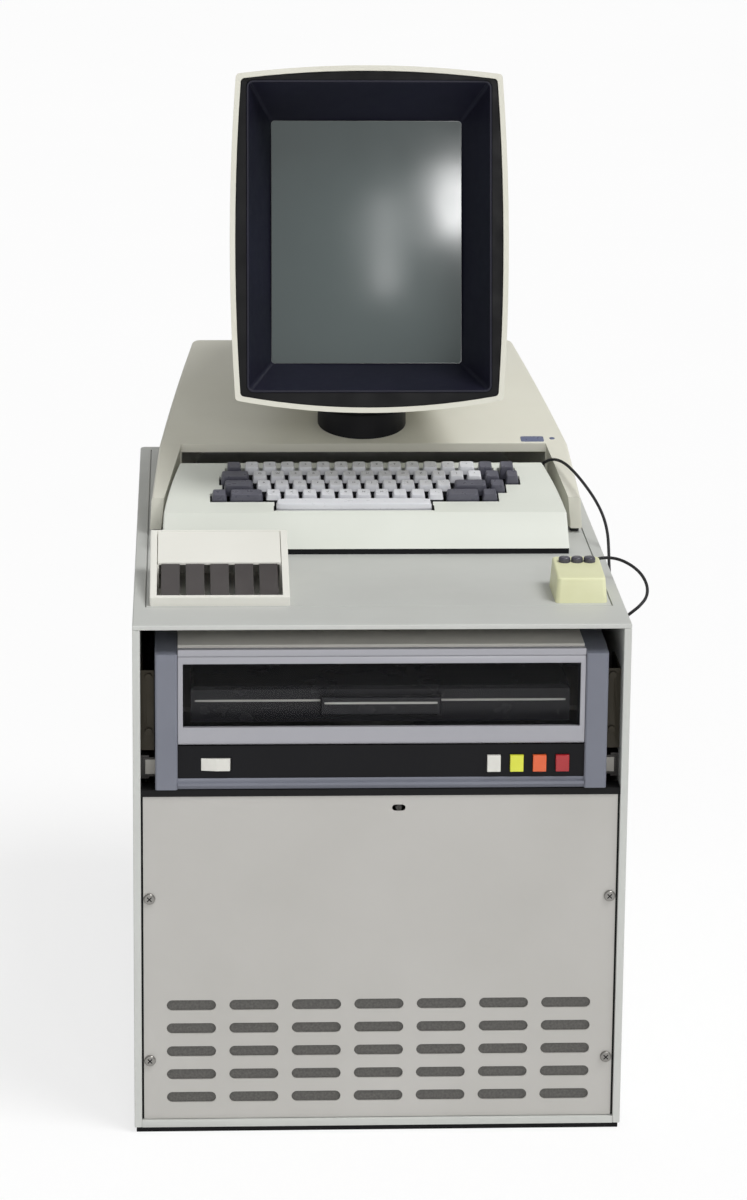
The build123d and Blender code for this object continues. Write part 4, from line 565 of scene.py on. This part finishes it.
def ring_faces(rings, around, copies=1):
    """Quads between neighbouring rings, then the closing polygons at the ends, for equal copies in a row."""
    low, step = np.meshgrid(np.arange(rings - 1), np.arange(around), indexing="ij")
    after = (step + 1) % around
    quads = np.stack((low * around + step, low * around + after, (low + 1) * around + after,
                      (low + 1) * around + step), axis=-1).reshape(-1, 4)
    ends = np.stack((np.arange(around)[::-1], (rings - 1) * around + np.arange(around)))
    starts = np.arange(copies)[:, None, None] * rings * around
    return (quads + starts).reshape(-1, 4).tolist() + (ends + starts).reshape(-1, around).tolist()


print("a cube of two rings has", len(ring_faces(2, 4)), "faces")

# %% [markdown]
# Key caps are double shot mouldings. Each cap has an upright skirt, sides that lean in and a top that is
# hollowed like a shallow trough for the finger. A bevelled box would miss the hollow, so each cap is a
# closed surface of rings. The skirts of the light caps are dark, as painted shade between the keys.

# %% Key caps
# Dark grey for the skirts of the light caps: painted shade between the keys.
finishes["skirt_painted_shade"] = finish_of("skirt_painted_shade", (34, 34, 38), (50, 50, 55), rough=(0.4, 0.5), grain=0.0006,
                                   depth=0.00002, drift=60.0)
CAP_RINGS = 12
CAP_CORNERS = 44
SKIRT_RINGS = 2
SQUARENESS = 0.25
# A cap's sizes in millimetres: how much narrower than its place it is at the foot and at the top, its depth
# at both, the height of the lowest row and the hollow for the finger.
FOOT_GAP = 3.2
TOP_GAP = 6.4
FOOT_DEPTH = 15.8
TOP_DEPTH = 13.0
CAP_HEIGHT = 6.0
FINGER_HOLLOW = 0.8
CAP_CREASE = math.radians(50)


def cap_surface(width, depth, top_width, top_depth, top, dish, around=CAP_CORNERS):
    """Rings round a key cap, in millimetres. Each ring is a rounded rectangle, x = a |cos t|^(1/4) and
    y = b |sin t|^(1/4) with the signs of cos and sin. The rings climb the skirt, lean in to the rim, round
    over it and shrink to the middle, where the height falls by dish (1 - (x / half width)^2)."""
    heights = np.array((-4.4, 1.0, 1.0, top - 1.6, top - 0.5, top - 0.12, top, top, top, top, top, top))
    lean_in = np.array((0, 0, 0.02, 0.7, 0.93, 1.0, 1.0, 1.0, 1.0, 1.0, 1.0, 1.0))
    inner = np.array((1, 1, 1, 1, 1, 0.975, 0.93, 0.8, 0.6, 0.4, 0.2, 0.03))
    t = np.linspace(0, 2 * np.pi, around, endpoint=False) + np.pi / around
    unit_x = np.sign(np.cos(t)) * np.abs(np.cos(t)) ** SQUARENESS
    unit_y = np.sign(np.sin(t)) * np.abs(np.sin(t)) ** SQUARENESS
    half_x = (width + (top_width - width) * lean_in) / 2 * inner
    half_y = (depth + (top_depth - depth) * lean_in) / 2 * inner
    x = half_x[:, None] * unit_x
    y = half_y[:, None] * unit_y
    hollow = np.clip(1 - (x / (top_width / 2)) ** 2, 0, 1) * dish
    on_top = lean_in == 1.0
    z = heights[:, None] - hollow * on_top[:, None]
    return np.stack((x, y, z), axis=-1).reshape(-1, 3)


cap_groups = {"l": ("letter_keys", "light_keys"), "n": ("number_keys", "light_keys"),
              "d": ("dark_keys", "dark_keys"), "s": ("space_bar", "light_keys")}
for kind, (node, slot) in cap_groups.items():
    caps = [cap_surface(width - FOOT_GAP, FOOT_DEPTH, width - TOP_GAP, TOP_DEPTH, CAP_HEIGHT + row,
                        FINGER_HOLLOW if row > 0 else 0.0) + (x, FIRST_ROW + row * KEY_PITCH, 0)
            for key_kind, row, x, width, sign in key_places() if key_kind == kind]
    faces = ring_faces(CAP_RINGS, CAP_CORNERS, len(caps))
    piece = mesh_piece(node + "_caps", on_deck(np.concatenate(caps)), faces, body_of_node[node], slot)
    piece.data.set_sharp_from_angle(angle=CAP_CREASE)
    # The light caps' lowest rings take the dark finish, as painted shade between the keys.
    if kind in "ln":
        piece.data.materials.append(finishes["skirt_painted_shade"])
        quads = (CAP_RINGS - 1) * CAP_CORNERS
        on_shaded_skirt = np.zeros(len(faces), dtype=int)
        on_shaded_skirt[:quads * len(caps)] = np.arange(quads * len(caps)) % quads < SKIRT_RINGS * CAP_CORNERS
        piece.data.polygons.foreach_set("material_index", on_shaded_skirt)
    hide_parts(node)
    print(node, len(faces), "faces")

# %% [markdown]
# The legends are moulded through the caps in a dark grey. A picture on the caps could show them, but
# letters are shapes, and Blender's own typeface makes them as a mesh. Each is a plain letter, figure or
# sign, laid a hair above the hollow of its cap.

# %% Key legends
finishes["legend_grey"] = finish_of("legend_grey", (54, 54, 60), (68, 68, 74), rough=(0.4, 0.5),
                                    grain=0.001, depth=0.00001, drift=60.0)
# A sign's size, its place behind the cap's middle and its height over the deck, in millimetres.
SIGN_SIZE = 4.4
SIGN_BEHIND = 1.2
SIGN_HEIGHT = 5.32
legend_groups = {"l": ("letter_legends", "letter_keys"), "n": ("number_legends", "number_keys")}
for kind, (name, node) in legend_groups.items():
    points, faces, start = [], [], 0
    for key_kind, row, x, width, sign in key_places():
        if key_kind != kind or not sign:
            continue
        words = bpy.data.curves.new("sign", "FONT")
        words.body = sign
        words.size = SIGN_SIZE
        words.align_x = "CENTER"
        words.align_y = "CENTER"
        words.resolution_u = 3
        holder = bpy.data.objects.new("sign", words)
        flat = holder.to_mesh()
        ink = np.empty(len(flat.vertices) * 3)
        flat.vertices.foreach_get("co", ink)
        points.append(ink.reshape(-1, 3)
                      + (x, FIRST_ROW + row * KEY_PITCH + SIGN_BEHIND, SIGN_HEIGHT + row))
        corner_points = np.empty(len(flat.loops), dtype=np.int32)
        flat.loops.foreach_get("vertex_index", corner_points)
        first_corners = np.empty(len(flat.polygons), dtype=np.int32)
        flat.polygons.foreach_get("loop_start", first_corners)
        faces += np.split(corner_points + start, first_corners[1:])
        start += len(flat.vertices)
        holder.to_mesh_clear()
        bpy.data.objects.remove(holder)
        bpy.data.curves.remove(words)
    legend = mesh_piece(name, on_deck(np.concatenate(points)), faces, body_of_node[node], "dark_keys",
                        "legend_grey")
    print(legend.name, len(faces), "faces")

# %% [markdown]
# Small flat things are stamped or printed plates. The badge on the hood's lip is left bare, with a small
# round stud beside it. Each panel screw has a cross cut in its head, whose shade is painted on two thin
# black plates. A cube and a cylinder could be bevelled for them, but a rounded rectangle and a disc are the
# same curve with another power, so one function makes them all.

# %% Small plates
finishes["badge_blue"] = finish_of("badge_blue", (92, 100, 132), (116, 124, 154), rough=(0.25, 0.4),
                                   grain=0.001, depth=0.00001, drift=80.0, metallic=0.3)


def plate_surface(width, depth, thickness, power, around=40):
    """Rings of a thin plate, in millimetres: x = a |cos t|^(2/power) and y = b |sin t|^(2/power), climbing
    from the underside, rounding over the edge by a quarter of the thickness and closing in the middle."""
    t = np.linspace(0, 2 * np.pi, around, endpoint=False) + np.pi / around
    unit = np.stack((np.sign(np.cos(t)) * np.abs(np.cos(t)) ** (2 / power),
                     np.sign(np.sin(t)) * np.abs(np.sin(t)) ** (2 / power)), axis=-1)
    edge = thickness / 4
    inset = np.array((0, 0, edge, 3 * edge))
    heights = np.array((0, thickness - 2 * edge, thickness - edge / 3, thickness))
    halves = np.stack((width / 2 - inset, depth / 2 - inset), axis=-1)
    flat = halves[:, None, :] * unit
    high = np.broadcast_to(heights[:, None, None], (len(heights), around, 1))
    return np.concatenate((flat, high), axis=-1).reshape(-1, 3), ring_faces(len(heights), around)


def plate(name, size, power, where, body, slot, finish):
    """One plate of a width, depth and thickness in millimetres, put in place by a matrix."""
    points, faces = plate_surface(*size, power)
    points = points / 1000 @ np.array(where.to_3x3()).T + np.array(where.translation)
    return mesh_piece(name, points, faces, body, slot, finish)


# The power of the curve round a plate: 2 is a circle, and more is squarer.
ROUND = 2
NEARLY_SQUARE = 8
SQUARE = 10
# The hood's front and back edge in millimetres, behind the cabinet's front and above its top.
lip_front = 430.0
lip_front_height = 81.0
hood_back = 750.0
hood_back_height = 132.5
hood_lean = math.atan2(hood_back_height - lip_front_height, hood_back - lip_front)
on_hood = Matrix.Rotation(hood_lean, 4, "X")


def on_lip(x, behind):
    """A place on the hood's sloping lip, in millimetres from the middle and behind the front."""
    above = lip_front_height + (behind - lip_front) * math.tan(hood_lean)
    return Matrix.Translation(place(x, behind, above)) @ on_hood


badge_size = (25, 14, 0.8)
stud_size = (5.6, 5.6, 0.7)
cut_shade_size = (6.4, 1.1, 0.2)
plate("bare_badge", badge_size, SQUARE, on_lip(183.2, 441.6), "cabinet", "hood_cream", "badge_blue")
plate("badge_stud", stud_size, ROUND, on_lip(205, 443.5), "cabinet", "hood_cream", "badge_blue")
standing = Matrix.Rotation(math.pi / 2, 4, "X")
screw_places = ((-229.3, 247.4), (229.3, 247.4), (-229.3, 76.2), (229.3, 76.2))
cut_behind = 0.0005
# The black plates in each head are painted shade in the cross cut.
for number, (x, height) in enumerate(screw_places):
    head = Matrix.Translation((x / 1000, FRONT + cut_behind, height / 1000)) @ standing
    for cut, turned in (("a", 45), ("b", 135)):
        plate("screw_cut_shade_%d%s" % (number, cut), cut_shade_size, NEARLY_SQUARE,
              head @ Matrix.Rotation(math.radians(turned), 4, "Z"), "cabinet", "bright_steel", "black_and_painted_shade")

# %% [markdown]
# Through the smoked window the cartridge shows a thin pale line across its square front and across the
# grip that stands out in the middle, a painted highlight where its edge catches the light. A line could be
# painted in the finish, but two narrow strips follow the two faces and need no pattern.

# %% Painted highlight on the cartridge
# Nearly white strips: painted highlight where the cartridge's edge catches the light.
finishes["edge_highlight"] = finish_of("edge_highlight", (232, 230, 222), (244, 242, 236), rough=(0.3, 0.4),
                                  grain=0.001, depth=0.00001, drift=40.0)
# The painted highlight's height in metres, and its width and thickness in millimetres.
highlight_height = 0.4437
highlight_width = 2.2
highlight_thickness = 0.5
for name, length, front in (("cartridge_seam", 368.0, -0.350), ("grip_seam", 112.0, -0.360)):
    on_front = Matrix.Translation((0, front, highlight_height)) @ standing
    plate(name, (length, highlight_width, highlight_thickness), SQUARE, on_front, body_of_node["disk_cartridge"],
          "cartridge", "edge_highlight")
    print(name, "on", body_of_node["disk_cartridge"])

# %% [markdown]
# The face of the picture tube is thick glass, bowed like a slice of a large ball. The solid tube has it in
# facets, which a mirror shows at once. A fine grid with the same bow lies on it, so that the soft boxes
# behind the camera mirror in it smoothly.

# %% Screen glass
# How the corners are rounded: the power, and the share drawn in at the sides and at the ends.
CORNER_POWER = 24
SIDE_PINCH = 0.012
END_PINCH = 0.01
# In millimetres: the bow of the glass, its depth behind the rim and how far it lies over the tube.
GLASS_BOW = 7.0
GLASS_DEPTH = 72.0
GLASS_LIFT = 0.35


def glass_surface(half_x, low, high, reach, across=60, down=76):
    """A grid over a rounded rectangle, in millimetres. u and v run from -1 to 1. x = half_x u, y goes from
    low to high with v, both drawn in a little near the corners by |v|^24 and |u|^24, and the depth falls
    towards the rim as bow (1 - r^2 / reach^2)."""
    u, v = np.meshgrid(np.linspace(-1, 1, across), np.linspace(-1, 1, down), indexing="ij")
    x = half_x * u * (1 - SIDE_PINCH * np.abs(v) ** CORNER_POWER)
    y = low + (high - low) * (v * (1 - END_PINCH * np.abs(u) ** CORNER_POWER) + 1) / 2
    bow = GLASS_BOW * (1 - (x ** 2 + (y - (low + high) / 2) ** 2) / reach ** 2)
    i, j = np.meshgrid(np.arange(across - 1), np.arange(down - 1), indexing="ij")
    faces = np.stack((i * down + j, (i + 1) * down + j, (i + 1) * down + j + 1, i * down + j + 1), axis=-1)
    return np.stack((x, y, bow), axis=-1).reshape(-1, 3), faces.reshape(-1, 4).tolist()


# The glass's half width, its lower and upper edge and the tube's reach to its corners, in millimetres.
glass_half_width = 100.7
glass_low = -128.9
glass_high = 127.7
tube_reach = math.hypot(101.0, 128.6)
points, faces = glass_surface(glass_half_width, glass_low, glass_high, tube_reach)
in_space = (rim_middle + points[:, :1] / 1000 * (1, 0, 0) + points[:, 1:2] / 1000 * upwards
            + (GLASS_DEPTH - GLASS_LIFT - points[:, 2:3]) / 1000 * inwards)
glass = mesh_piece("screen_glass", in_space, faces, "monitor", "tube_glass")
print(glass.name, len(faces), "faces")

# %% [markdown]
# The case is cut away a little at each end of the space bar. Cutting the casing's mesh would spoil its
# bevel, so the shade in the two short slots is painted on two thin black plates.

# %% Slots beside the space bar
# The slot's size and its gap to the bar in millimetres, then its place on the deck in metres.
slot_shade_size = (1.8, 11.0, 0.3)
slot_gap = 0.2
slot_behind = 0.0095
slot_lift = 0.00005
bar_start = KEY_ROWS[0][0]
bar_end = 3.76
# Each black plate is painted shade in a slot.
for end, x in (("left", bar_start * KEY_PITCH - slot_gap), ("right", bar_end * KEY_PITCH + slot_gap)):
    beside = deck @ Matrix.Translation((x / 1000, slot_behind, slot_lift))
    plate("space_bar_slot_shade_" + end, slot_shade_size, SQUARE, beside, "cabinet", "keyboard_shell", "black_and_painted_shade")
    print("slot", end)
